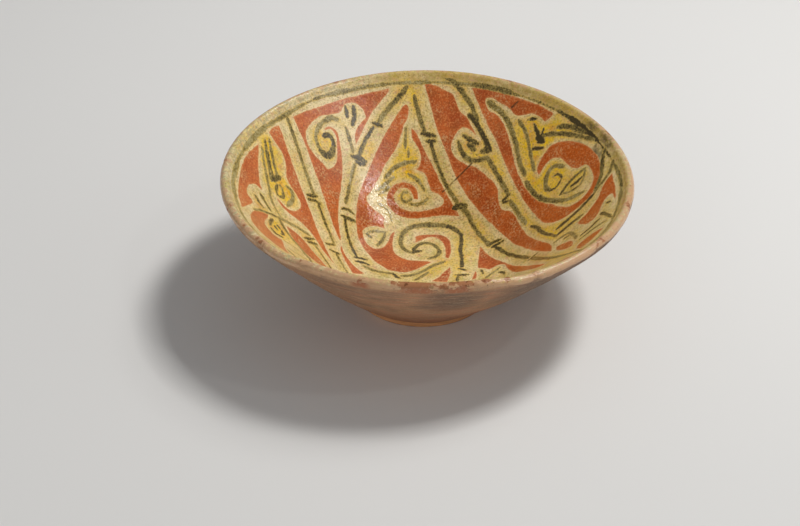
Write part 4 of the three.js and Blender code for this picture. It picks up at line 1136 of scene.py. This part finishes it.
@dataclass(frozen=True)
class FootClay:
    """The foot's redder clay, darkened where it meets the table by a painted contact shadow."""

    ior: float = 1.45
    roughness: float = 0.86
    relief: float = 0.22
    red: Colour = srgb(230, 168, 114)
    brown: Drift = Drift(srgb(208, 150, 100), 9, 4, 14, 0.4, 0.62, 1, (1, 1, 4))
    # Painted contact shadow: a darker band along the foot's bottom edge
    contact_shadow: Drift = Drift(srgb(150, 104, 72), 4, 3, 28, 0.3, 0.6, 0.7)
    contact_shadow_edge: Point = (1.4, 0.2)

    def material(self) -> bpy.types.Material:
        """Builds the material."""
        shader = Shader("foot_clay")
        colour = self.brown.over(shader, self.red)
        # Painted contact shadow: the clay darkens towards the foot's bottom edge
        colour = self.contact_shadow.over(shader, colour, shader.z.rise(*self.contact_shadow_edge))
        skin = shader.noise(0.9, 4) + shader.noise(7, 3, 5, (1, 1, 6)) * 0.6
        return shader.finish({
            "Base Color": colour, "Roughness": self.roughness,
            "Normal": shader.bump(skin, self.relief), "IOR": self.ior,
        })


# Pieces


def alone() -> None:
    """Leaves edit mode and deselects everything, so that operators act on the new piece only."""
    if bpy.context.object and bpy.context.object.mode != "OBJECT":
        bpy.ops.object.mode_set(mode="OBJECT")
    bpy.ops.object.select_all(action="DESELECT")


def named(name: str) -> bpy.types.Object:
    """The object that was just added, with its mesh, under a new name."""
    piece = bpy.context.object
    piece.name = piece.data.name = name
    return piece


def corners_of(piece: bpy.types.Object) -> np.ndarray:
    """A piece's points in millimetres, one a row."""
    spots = np.empty(len(piece.data.vertices) * 3)
    piece.data.vertices.foreach_get("co", spots)
    return spots.reshape(-1, 3) / MM


def place_corners(piece: bpy.types.Object, *axes: np.ndarray) -> None:
    """Moves a piece's points to places in millimetres, given axis by axis."""
    piece.data.vertices.foreach_set("co", (np.column_stack(axes) * MM).ravel())
    piece.data.update()


def mark(piece: bpy.types.Object, name: str, numbers: np.ndarray) -> None:
    """Writes one number at each point of a piece, for its material to read."""
    layer = piece.data.attributes.new(name, "FLOAT", "POINT")
    layer.data.foreach_set("value", numbers.astype(np.float32))


def throw(name: str, profile: Profile, turns: int) -> bpy.types.Object:
    """Throws a profile into a round closed piece, as on a wheel.

    Args:
        name: the piece's name.
        profile: radius and height in millimetres, from the axis out and back to the axis.
        turns: steps round the axis.

    Returns:
        The piece.
    """
    alone()
    bpy.ops.mesh.primitive_plane_add(size=MM)
    piece = named(name)
    bpy.ops.object.mode_set(mode="EDIT")
    bpy.ops.mesh.merge(type="CENTER")
    bpy.ops.transform.translate(value=(profile[0][0] * MM, 0, profile[0][1] * MM))
    for (radius, height), (wider, higher) in zip(profile, profile[1:]):
        move = ((wider - radius) * MM, 0, (higher - height) * MM)
        bpy.ops.mesh.extrude_vertices_move(TRANSFORM_OT_translate={"value": move})
    bpy.ops.mesh.select_all(action="SELECT")
    bpy.ops.mesh.spin(steps=turns, angle=math.tau, center=(0, 0, 0), axis=(0, 0, 1))
    bpy.ops.mesh.select_all(action="SELECT")
    bpy.ops.mesh.remove_doubles(threshold=MERGE_DISTANCE * MM)
    bpy.ops.mesh.normals_make_consistent(inside=False)
    bpy.ops.object.mode_set(mode="OBJECT")
    bpy.ops.object.shade_smooth_by_angle(angle=SMOOTH_ANGLE)
    return piece


def dress(piece: bpy.types.Object, material: bpy.types.Material, nodes: tuple[str, ...]) -> None:
    """Gives a piece its finish and its body, and hides the CAD nodes it stands for."""
    piece.data.materials.clear()
    piece.data.materials.append(material)
    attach(piece, BODY)
    if nodes:
        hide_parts(*nodes)
    stands_for = ", ".join(nodes) or "detail"
    LOG.info("%s: %d faces, stands for %s", piece.name, len(piece.data.polygons), stands_for)


@dataclass
class ClayWall:
    """The thrown wall, bare outside, with faint throwing rings and a wiped, uneven skin."""

    form: BowlForm
    turns: int = 192
    rows: int = 64
    lip_steps: int = 22
    inner_rows: int = 40
    ring_pitch: float = 5.4
    ring_depth: float = 0.16
    ring_sway: float = 0.8
    unevenness: float = 0.3
    dents: Grain = Grain(13, 5)
    small_dents: Grain = Grain(5, 6)
    marks_start: float = 5.0
    marks_end: float = 63.0
    marks_fade: float = 6.0
    outer_depth: float = 2.0
    under_lining: float = 0.7
    lip_foot: float = 63.4
    crown_inside: float = 0.82
    crown_outside: float = 0.94
    crown_turn: float = 130.0
    crown_blend: float = 60.0

    def profile(self) -> Profile:
        """Section from the foot up the outside, over the lip and down the inside."""
        form = self.form
        heights = np.linspace(form.foot_height, self.lip_foot, self.rows)
        lip = np.array(form.lip(self.lip_steps)[-2:0:-1])
        share = smooth((self.crown_turn - form.round_lip(*lip.T)) / self.crown_blend)
        shrink = self.crown_inside + (self.crown_outside - self.crown_inside) * share
        crown = form.lip_middle + (lip - form.lip_middle) * shrink[:, None]
        radii = np.linspace(form.lip_inner_radius, 0, self.inner_rows)[1:]
        inside = zip(radii, form.inside(radii) - self.under_lining)
        return [(0, form.foot_height), *zip(form.outside(heights), heights), *map(tuple, crown), *inside]

    def build(self) -> bpy.types.Object:
        """Throws the wall and leaves the marks of hand and wheel on it."""
        piece = throw("bowl_wall", self.profile(), self.turns)
        x, y, z = corners_of(piece).T
        radius = np.hypot(x, y)
        lining = self.form.inside(np.minimum(radius, self.form.lip_inner_radius))
        outer = z < lining - self.outer_depth
        fade = smooth((z - self.marks_start) / self.marks_fade)
        fade = fade * smooth((self.marks_end - z) / self.marks_fade)
        rings = np.sin(math.tau * z / self.ring_pitch + self.ring_sway * np.sin(np.arctan2(y, x)))
        dents = self.dents.at(x + z, y - z) + 0.5 * self.small_dents.at(x - z, y + z)
        push = fade * outer * (self.ring_depth * rings + self.unevenness * dents)
        grow = 1 + push / np.maximum(radius, 1)
        leaned = np.where(outer, self.form.leaned(x * grow, z), x)
        place_corners(piece, leaned, y * grow, z + self.form.warp(x, y))
        return piece

    def dress(self, piece: bpy.types.Object) -> None:
        """Gives the wall its bare clay."""
        dress(piece, BareClay().material(), ("clay_wall",))


@dataclass
class Foot:
    """The low disc foot, turned with a worn edge and a shallow hollow beneath."""

    form: BowlForm
    turns: int = 160
    base_radius: float = 34.0
    edge: float = 0.9
    edge_turn: float = 1.45
    edge_steps: int = 7
    side_steps: int = 8
    sunk: float = 0.5
    flat_radius: float = 10.0
    stand_radius: float = 27.0
    hollow_radius: float = 22.0
    hollow: float = 1.2
    hollow_slope: Points = ((-2.4, 1.0), (-1.0, 0.6), (0.0, 0.0))
    unevenness: float = 0.22
    dents: Grain = Grain(6, 11)
    small_dents: Grain = Grain(2.4, 12)
    side_start: float = 0.8
    side_fade: float = 1.5

    def profile(self) -> Profile:
        """Section from the middle of the hollow round to the middle of the top."""
        base, edge, top = self.base_radius, self.edge, self.form.foot_height + self.sunk
        turn = np.linspace(0, self.edge_turn, self.edge_steps)
        ring = zip(base - edge * (1 - np.sin(turn)), edge * (1 - np.cos(turn)))
        radii = np.linspace(base, self.form.foot_top_radius, self.side_steps)[1:]
        side = zip(radii, np.linspace(edge, top, self.side_steps)[1:])
        slope = [(self.hollow_radius + out, self.hollow * up) for out, up in self.hollow_slope]
        middle = [(0, self.hollow), (self.flat_radius, self.hollow)]
        return [*middle, *slope, (self.stand_radius, 0), *ring, *side, (0, top)]

    def build(self) -> bpy.types.Object:
        """Turns the foot and roughens its side."""
        piece = throw("bowl_foot", self.profile(), self.turns)
        x, y, z = corners_of(piece).T
        radius = np.maximum(np.hypot(x, y), 1)
        side = smooth((z - self.side_start) / self.side_fade) * (radius > self.base_radius - 0.5)
        dents = self.dents.at(x, y + 3 * z) + 0.5 * self.small_dents.at(x, y - 3 * z)
        grow = 1 + self.unevenness * side * dents / radius
        place_corners(piece, self.form.leaned(x * grow, z), y * grow, z)
        return piece

    def dress(self, piece: bpy.types.Object) -> None:
        """Gives the foot its redder clay."""
        dress(piece, FootClay().material(), ("foot_disc",))


@dataclass(frozen=True)
class Stain:
    """A place where the brush lines have stained the cream yellow, and how far it has spread from them."""

    x: float
    y: float
    reach: float
    strength: float
    spread: float = 0.0


STAINS = (
    Stain(62, 46, 26, 1.0, 0.8), Stain(54, 64, 15, 1.0, 0.75), Stain(68, 60, 12, 1.0, 0.6),
    Stain(58, 24, 14, 0.8, 0.35), Stain(66, 6, 18, 0.9, 0.6), Stain(74, 34, 14, 0.9, 0.5),
    Stain(36, 56, 9, 0.95, 0.7), Stain(26, 68, 13, 0.8, 0.3), Stain(24, 76, 9, 0.9, 0.4),
    Stain(14, 88, 9, 0.7, 0.35), Stain(-11, 88, 10, 0.9, 0.55), Stain(-12, 63, 14, 1.0, 0.6),
    Stain(-18, 54, 11, 0.9, 0.45), Stain(-31, 63, 7, 0.9, 0.6), Stain(-52, 58, 9, 1.0, 0.45),
    Stain(-72, 20, 11, 1.0, 0.85), Stain(-77, 34, 16, 1.0, 0.6), Stain(-73, -16, 12, 1.0, 0.6),
    Stain(20, 24, 18, 0.7, 0.3), Stain(8, 5, 14, 0.7, 0.4), Stain(-49, 23, 12, 0.5, 0.1),
    Stain(-57, -6, 12, 0.6, 0.2), Stain(-84, -9, 9, 0.8, 0.4), Stain(44, 40, 16, 0.6, 0.15),
    Stain(20, -60, 26, 0.8, 0.35), Stain(-50, -50, 26, 0.8, 0.3), Stain(-20, -30, 22, 0.7, 0.25),
    Stain(60, -40, 22, 0.8, 0.35),
)


@dataclass(frozen=True)
class Chip:
    """A place on the lip where the slip has worn through, in degrees round the rim and over the lip."""

    angle: float
    length: float
    reach: float
    rust: float = 0.7
    fall: float = 1.4
    crown: float = 70.0
    spread: Point = (20, 16)

    def near(self, angle: np.ndarray) -> np.ndarray:
        """How much of the chip is felt at each place round the rim, from 0 to 1."""
        away = (np.degrees(angle) - self.angle + 180) % 360 - 180
        return np.exp(-self.fall * (away / self.length) ** 2)

    def over(self, turn: np.ndarray) -> np.ndarray:
        """How much of the chip is felt at each place across the lip, from 0 to 1."""
        half = self.spread[0] + self.spread[1] * self.length
        return np.exp(-(((turn - self.crown) / half) ** 2))


CHIPS = (
    Chip(-107.5, 2.4, 30), Chip(-93, 6.6, 26, 1.4), Chip(-84.5, 4, 22, 0.8), Chip(-80, 3.4, 22, 1.2),
    Chip(-74, 1.5, 14, 1.3), Chip(-68, 1.3, 14, 1.3),
    Chip(-60, 1.6, 36), Chip(-124, 2.2, 30), Chip(-141, 3, 34), Chip(-150, 2.4, 34), Chip(-161, 2, 30),
    Chip(175, 3, 28), Chip(-36, 3, 34), Chip(-14, 3, 28), Chip(24, 3, 26), Chip(64, 3, 24), Chip(118, 3, 24),
)


@dataclass
class Lining:
    """Cream slip and its glaze, from the middle of the floor to a ragged edge outside the lip."""

    form: BowlForm
    turns: int = 560
    rows: int = 92
    lip_steps: int = 26
    thickness: float = 0.5
    tuck: Point = (-1.2, 0.6)
    back: Points = ((98.6, 66.4), (96.8, 66.0))
    back_rows: int = 4
    lip_start: float = 0.4
    lip_core: float = 1.6
    edge: float = -10.0
    edge_fade: float = 14.0
    ragged: float = 15.0
    rags: Grain = Grain(17, 21)
    small_rags: Grain = Grain(2.2, 22)
    breaks: Grain = Grain(1.7, 23)
    small_breaks: Grain = Grain(0.7, 24)
    broken: float = 0.8
    sunk: float = 0.84
    bleed: float = 2.8
    faint_stain: float = 0.3
    stain_reach: float = 1.35
    rubbed: float = 130.0
    rust_turn: float = 135.0
    rust_blend: float = 60.0
    fringe: float = 1.2

    def profile(self) -> Profile:
        """Section over the inside and the lip, then back below it."""
        radii = np.linspace(0, self.form.lip_inner_radius, self.rows)
        inside = list(zip(radii, self.form.inside(radii)))
        lip = self.form.lip(self.lip_steps)[1:]
        tucked = (lip[-1][0] + self.tuck[0], lip[-1][1] + self.tuck[1])
        below = [(radius, height - self.thickness) for radius, height in reversed(inside[::self.back_rows])]
        return [*inside, *lip, tucked, *self.back, *below]

    def lip_edge(self, angle: np.ndarray) -> np.ndarray:
        """How far round the lip the slip reaches at each place round the rim, in degrees."""
        run = angle * self.form.rim_radius
        edge = self.edge + self.ragged * (self.rags.on(run) + 0.4 * self.small_rags.on(run))
        broken = 1 + self.broken * (self.breaks.on(run) + 0.7 * self.small_breaks.on(run))
        return edge + sum(chip.reach * broken * chip.near(angle) for chip in CHIPS)

    def build(self) -> bpy.types.Object:
        """Lays the lining, lets its outer edge sink raggedly into the clay and marks its stains."""
        piece = throw("slip_lining", self.profile(), self.turns)
        x, y, z = corners_of(piece).T
        radius, angle = np.hypot(x, y), np.arctan2(y, x)
        middle, level = self.form.lip_middle
        lip = radius > self.form.lip_inner_radius + self.lip_start
        lip &= np.hypot(radius - middle, z - level) > self.lip_core
        turn = self.form.round_lip(radius, z)
        past = self.lip_edge(angle) - turn
        shrink = 1 - (1 - self.sunk) * smooth(past / self.edge_fade + 0.5) * lip
        grow = np.where(lip, (middle + (radius - middle) * shrink) / np.maximum(radius, 1), 1)
        height = np.where(lip, level + (z - level) * shrink, z)
        place_corners(piece, x * grow, y * grow, height + self.form.warp(x, y))
        rust = np.max([chip.rust * chip.near(angle) * chip.over(turn) for chip in CHIPS], 0)
        mark(piece, "stain", self.stain(np.column_stack([x, y])))
        mark(piece, "worn", np.clip(1 + past / self.rubbed, 0, 1) * lip)
        mark(piece, "chipped", rust * smooth((self.rust_turn - turn) / self.rust_blend) * lip)
        mark(piece, "border", self.border(np.column_stack([x, y])))
        return piece

    def stain(self, places: np.ndarray) -> np.ndarray:
        """How yellow the cream is at each plan point, from 0 to 1."""
        paths = [sampled(drawn(path)) for strokes in BRUSH_LINES.values() for _, path in strokes]
        distance, _ = nearest(places, np.concatenate(paths))
        strength = np.full(len(places), self.faint_stain)
        spread = np.zeros(len(places))
        for spot in STAINS:
            away = np.hypot(places[:, 0] - spot.x, places[:, 1] - spot.y)
            near = smooth(self.stain_reach - away / spot.reach)
            strength = np.maximum(strength, spot.strength * near)
            spread = np.maximum(spread, spot.spread * near)
        return np.maximum(strength * np.exp(-((distance / self.bleed) ** 2)), spread)

    def border(self, places: np.ndarray) -> np.ndarray:
        """How near each plan point lies to a red field's edge, from 0 to 1."""
        outlines = [sampled(outlined(points)) for points in RED_FIELDS.values()]
        distance, _ = nearest(places, np.concatenate(outlines))
        return np.exp(-((distance / self.fringe) ** 2))

    def dress(self, piece: bpy.types.Object) -> None:
        """Gives the lining its glazed cream."""
        dress(piece, CreamSlip().material(), ("cream_slip", "clear_glaze"))


@dataclass
class Painted:
    """A thin layer of brushed slip whose rim sinks under the lining, so only the brushed shape shows."""

    name: str
    form: BowlForm
    nodes: tuple[str, ...] = ()
    slot: str = "dark_slip"
    cell: float = 0.5
    margin: float = 0.6
    lift: float = 0.03
    build_up: float = 0.6
    sink: float = 0.09
    thickness: float = 0.3
    wander: float = 0.16
    wander_size: float = 2.6
    wander_seeds: tuple[int, int] = (33, 34)
    finer: float = 2.7

    def edges(self) -> np.ndarray:
        """Plan points whose box holds the shape."""
        raise NotImplementedError

    def drawn_depth(self, places: np.ndarray) -> np.ndarray:
        """Distance inside the drawn shape at each plan point, negative outside it."""
        raise NotImplementedError

    def depth(self, places: np.ndarray) -> np.ndarray:
        """Distance inside the brushed shape, whose edge wanders a little off the drawn one."""
        broad, fine = self.wander_seeds
        shake = Grain(self.wander_size, broad).at(*places.T)
        shake = shake + 0.5 * Grain(self.wander_size / self.finer, fine).at(*places.T)
        return self.drawn_depth(places) + self.wander * shake

    def load(self, places: np.ndarray) -> np.ndarray:
        """How thickly the slip lies, from 0 to 1."""
        return np.ones(len(places))

    def relief(self, depth: np.ndarray) -> np.ndarray:
        """Height over the lining, rising from the edge towards the middle."""
        above = self.lift * (1 - np.exp(-np.maximum(depth, 0) / self.build_up))
        return above - self.sink * smooth(-depth / self.margin)

    def build(self) -> bpy.types.Object:
        """Cuts a fine grid to the shape, lays it on the lining and gives it its thickness."""
        low = self.edges().min(0) - 2 * self.margin
        high = self.edges().max(0) + 2 * self.margin
        columns, rows = (int(steps) for steps in np.ceil((high - low) / self.cell))
        alone()
        bpy.ops.mesh.primitive_grid_add(x_subdivisions=columns, y_subdivisions=rows, size=1)
        piece = named(self.name)

        def places() -> np.ndarray:
            """Plan points of the grid's corners, once it is stretched over the shape's box."""
            return low + (corners_of(piece)[:, :2] * MM + 0.5) * (high - low)

        self.trim(piece, self.depth(places()))
        kept = places()
        depth = self.depth(kept)
        place_corners(piece, *kept.T, self.form.lined(*kept.T) + self.relief(depth))
        mark(piece, "depth", depth)
        mark(piece, "load", self.load(kept))
        wall = piece.modifiers.new("thickness", "SOLIDIFY")
        wall.thickness = self.thickness * MM
        wall.offset = -1
        bpy.ops.object.modifier_apply(modifier=wall.name)
        bpy.ops.object.shade_smooth_by_angle(angle=SMOOTH_ANGLE)
        return piece

    def trim(self, piece: bpy.types.Object, depth: np.ndarray) -> None:
        """Deletes the grid's faces that reach outside the shape and its margin."""
        faces = piece.data.polygons
        around = np.empty(len(faces) * 4, int)
        faces.foreach_get("vertices", around)
        outside = (depth[around.reshape(-1, 4)] < -self.margin).any(1)
        bpy.ops.object.mode_set(mode="EDIT")
        bpy.ops.mesh.select_mode(type="FACE")
        bpy.ops.mesh.select_all(action="DESELECT")
        bpy.ops.object.mode_set(mode="OBJECT")
        faces.foreach_set("select", outside)
        bpy.ops.object.mode_set(mode="EDIT")
        bpy.ops.mesh.delete(type="FACE")
        bpy.ops.mesh.select_mode(type="VERT")
        bpy.ops.object.mode_set(mode="OBJECT")

    def dress(self, piece: bpy.types.Object, material: bpy.types.Material) -> None:
        """Gives the piece its slip."""
        dress(piece, material, self.nodes)


@dataclass
class RedField(Painted):
    """One island of red slip between the lines and leaves."""

    slot: str = "red_slip"
    points: Points = ()

    def edges(self) -> np.ndarray:
        """The field's outline."""
        return outlined(self.points)

    def drawn_depth(self, places: np.ndarray) -> np.ndarray:
        """Distance inside the outline."""
        outline = self.edges()
        distance, _ = nearest(places, sampled(outline))
        return np.where(within(places, outline), distance, -distance)


@dataclass
class BrushLine(Painted):
    """One dark line or vein: brush strokes that run together, thinner where the brush lifts."""

    strokes: Strokes = field(default_factory=list)
    cell: float = 0.4
    lift: float = 0.09
    wander: float = 0.24
    wander_size: float = 1.7
    spread: float = 1.14
    taper: float = 0.75
    taper_run: float = 1.4
    short: float = 9.0
    held: float = 1.0
    dab_load: Point = (0.8, 1.0)
    stroke_load: Point = (0.35, 1.0)
    spent: Point = (0.0, 0.5)
    unreached: float = -99.0

    def edges(self) -> np.ndarray:
        """The strokes' paths, widened by their brush."""
        paths = [(drawn(path), width) for width, path in self.strokes]
        return np.concatenate([path + side * width / 2 for path, width in paths for side in (-1, 1)])

    def brushed(self, places: np.ndarray) -> tuple[np.ndarray, np.ndarray]:
        """Distance inside the nearest stroke, and how much slip the brush still held there."""
        best = np.full(len(places), self.unreached)
        load = np.full(len(places), 0.5)
        dip = np.random.default_rng(sum(map(ord, self.name)))
        for width, points in self.strokes:
            path = sampled(drawn(points))
            reach = width + 2 * self.margin
            inside = ((places > path.min(0) - reach) & (places < path.max(0) + reach)).all(1)
            distance, number = nearest(places[inside], path)
            whole = np.hypot(*np.diff(path, axis=0).T).sum()
            run = whole * number / (len(path) - 1)
            to_end = np.minimum(run, whole - run) / self.taper_run
            half = self.spread * width / 2 * (self.taper + (1 - self.taper) * smooth(to_end))
            full = dip.uniform(*(self.dab_load if whole < self.short else self.stroke_load))
            left = self.held * full * (1 - dip.uniform(*self.spent) * run / max(whole, self.short))
            closer = half - distance > best[inside]
            best[inside] = np.where(closer, half - distance, best[inside])
            load[inside] = np.where(closer, left, load[inside])
        return best, load

    def drawn_depth(self, places: np.ndarray) -> np.ndarray:
        """Distance inside the nearest stroke."""
        return self.brushed(places)[0]

    def load(self, places: np.ndarray) -> np.ndarray:
        """How much slip the brush still held, from 0 to 1."""
        return self.brushed(places)[1]


@dataclass
class RimRing(Painted):
    """The dark ring drawn round the inside below the lip, unsteady and thin in places.

    The loads are degrees round the rim and how much slip the brush held there.
    """

    radius: float = 94.0
    width: float = 2.35
    cell: float = 0.45
    lift: float = 0.05
    wander: float = 0.3
    sway: float = 0.4
    sways: Grain = Grain(23, 41)
    width_share: Point = (0.85, 0.4)
    widths: Grain = Grain(12, 42)
    loads: Points = (
        (0, 0.5), (12, 0.6), (22, 1.1), (34, 1.25), (40, 1.1), (46, 0.7), (52, 0.65), (62, 0.45),
        (75, 0.35), (92, 0.25), (108, 0.35), (122, 0.45), (132, 0.45), (150, 0.3), (165, 0.22), (180, 0.2),
        (200, 0.2), (215, 0.2), (250, 0.35), (290, 0.4), (320, 0.3), (345, 0.45), (360, 0.5),
    )
    patchiness: float = 0.14
    patches: Grain = Grain(6, 43)

    def edges(self) -> np.ndarray:
        """Corners of the ring's box."""
        reach = self.radius + self.width
        return np.array([(-reach, -reach), (reach, reach)])

    def drawn_depth(self, places: np.ndarray) -> np.ndarray:
        """Distance inside the ring's band."""
        run = np.arctan2(places[:, 1], places[:, 0]) * self.radius
        thin, swing = self.width_share
        half = self.width / 2 * (thin + swing * self.widths.on(run))
        return half - np.abs(np.hypot(*places.T) - self.radius - self.sway * self.sways.on(run))

    def load(self, places: np.ndarray) -> np.ndarray:
        """Darkest at the far right, where the brush started, and nearly gone in places."""
        angle = np.degrees(np.arctan2(places[:, 1], places[:, 0])) % 360
        held = np.interp(angle, *np.array(self.loads).T)
        run = np.radians(angle) * self.radius
        return held + self.patchiness * self.patches.at(run, np.hypot(*places.T) * 3)


@dataclass
class Ornament:
    """All the painted slip on the lining, each field and line a piece of its own."""

    form: BowlForm

    def build(self) -> None:
        """Paints the red fields, then the dark lines and the ring below the lip."""
        red = RedSlip().material()
        for name, points in RED_FIELDS.items():
            nodes = () if name in DETAILS else (f"red_{name}",)
            island = RedField(f"field_{name}", self.form, nodes, points=points)
            island.dress(island.build(), red)
        dark = DarkSlip().material()
        for name, strokes in BRUSH_LINES.items():
            nodes = () if name in DETAILS else LINE_NODES.get(name, (name,))
            held = LINE_LOADS.get(name, BrushLine.held)
            line = BrushLine(f"brush_{name}", self.form, nodes, strokes=strokes, held=held)
            line.dress(line.build(), dark)
        ring = RimRing("brush_rim_ring", self.form, ("rim_line",))
        ring.dress(ring.build(), dark)


# Studio


class LampUse(Enum):
    """What a lamp is for: to light the bowl, to glint in its glaze, or both."""

    LIGHT = "light"
    GLINT = "glint"
    BOTH = "both"


@dataclass(frozen=True)
class Lamp:
    """A soft square lamp, by its direction from the bowl, its distance and side in metres and its power."""

    name: str
    way: Point
    away: float
    size: float
    watts: float
    use: LampUse
    aim_height: float = 0.04

    def build(self) -> None:
        """Hangs the lamp and aims it at the bowl."""
        aim = Vector(self.way).normalized()
        place = aim * self.away + Vector((0, 0, self.aim_height))
        turn = aim.to_track_quat("Z", "Y").to_euler()
        bpy.ops.object.light_add(type="AREA", location=place, rotation=turn)
        lamp = bpy.context.object
        lamp.name = self.name
        lamp.data.size = self.size
        lamp.data.energy = self.watts
        lamp.visible_diffuse = self.use is not LampUse.GLINT
        lamp.visible_glossy = self.use is not LampUse.LIGHT


LAMPS = (
    Lamp("key", (0.41, 0.2, 0.88), 1.5, 0.3, 13, LampUse.LIGHT),
    Lamp("spot", (0.56, -0.2, 0.8), 1.4, 0.08, 0.6, LampUse.BOTH),
    Lamp("gloss", (0.55, -0.17, 0.81), 1.4, 0.42, 2.8, LampUse.GLINT),
    Lamp("soft", (0.46, 0.36, 0.81), 1.5, 0.3, 3, LampUse.LIGHT),
    Lamp("lip", (0.46, 0.36, 0.81), 1.5, 0.3, 6, LampUse.GLINT),
    Lamp("side", (0.9, -0.1, 0.42), 1.6, 0.9, 1.2, LampUse.BOTH),
    Lamp("fill", (-0.35, -0.9, 0.3), 1.8, 1.2, 6, LampUse.LIGHT),
)


@dataclass
class Studio:
    """A plain pale floor, soft lamps and the camera at the photograph's angle."""

    focus_height: float = 68.2
    distance: float = 1200.0
    elevation: float = 31.507
    aim_right: float = -12.859
    aim_up: float = -44.143
    roll: float = 0.0923
    focal_pixels: float = 2470.18
    image_width: int = 800
    sensor: float = 36.0
    clip_start: float = 0.05
    floor_size: float = 12.0
    floor_colour: Colour = srgb(226, 224, 220)
    floor_shade: Drift = Drift(srgb(222, 220, 216), 900, 1, 0, 0.3, 0.7)
    floor_roughness: float = 0.9
    floor_gloss: float = 0.1
    sky: Colour = srgb(214, 216, 220)
    sky_strength: float = 0.36

    def camera(self) -> None:
        """Sets the camera that looks along +Y and down at the bowl."""
        lift = math.radians(self.elevation)
        back = Vector((0, -math.cos(lift), math.sin(lift)))
        right, up = Vector((1, 0, 0)), Vector((0, math.sin(lift), math.cos(lift)))
        rim = Vector((0, 0, self.focus_height))
        lens = rim + back * self.distance
        forward = (rim + right * self.aim_right + up * self.aim_up - lens).normalized()
        side = forward.cross(Vector((0, 0, 1))).normalized()
        facing = Matrix((side, side.cross(forward), -forward)).transposed()
        turn = facing @ Matrix.Rotation(math.radians(self.roll), 3, "Z")
        bpy.ops.object.camera_add(location=lens * MM, rotation=turn.to_euler())
        camera = bpy.context.object
        camera.data.sensor_width = self.sensor
        camera.data.lens = self.focal_pixels * self.sensor / self.image_width
        camera.data.clip_start = self.clip_start
        bpy.context.scene.camera = camera

    def floor(self) -> None:
        """Lays the pale floor at the foot's resting plane."""
        alone()
        bpy.ops.mesh.primitive_plane_add(size=self.floor_size)
        floor = named("studio_floor")
        shader = Shader("pale_floor")
        floor.data.materials.append(shader.finish({
            "Base Color": self.floor_shade.over(shader, self.floor_colour),
            "Roughness": self.floor_roughness, "Specular IOR Level": self.floor_gloss,
        }))

    def sky_light(self) -> None:
        """Fills the shadows with an even pale sky that shows in no glaze."""
        world = bpy.data.worlds.new("studio")
        world.use_nodes = True
        ground = world.node_tree.nodes["Background"]
        ground.inputs["Color"].default_value = (*self.sky, 1)
        ground.inputs["Strength"].default_value = self.sky_strength
        world.cycles_visibility.glossy = False
        bpy.context.scene.world = world

    def build(self) -> None:
        """Sets the floor, the light and the camera."""
        self.floor()
        self.sky_light()
        for lamp in LAMPS:
            lamp.build()
        self.camera()
        bpy.context.scene.view_settings.view_transform = "Standard"


def main() -> None:
    """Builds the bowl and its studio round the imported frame."""
    logging.basicConfig(level=logging.INFO, format="%(message)s")
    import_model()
    form = BowlForm()
    for part in (ClayWall(form), Foot(form), Lining(form)):
        part.dress(part.build())
    Ornament(form).build()
    Studio().build()


if __name__ == "__main__":
    main()
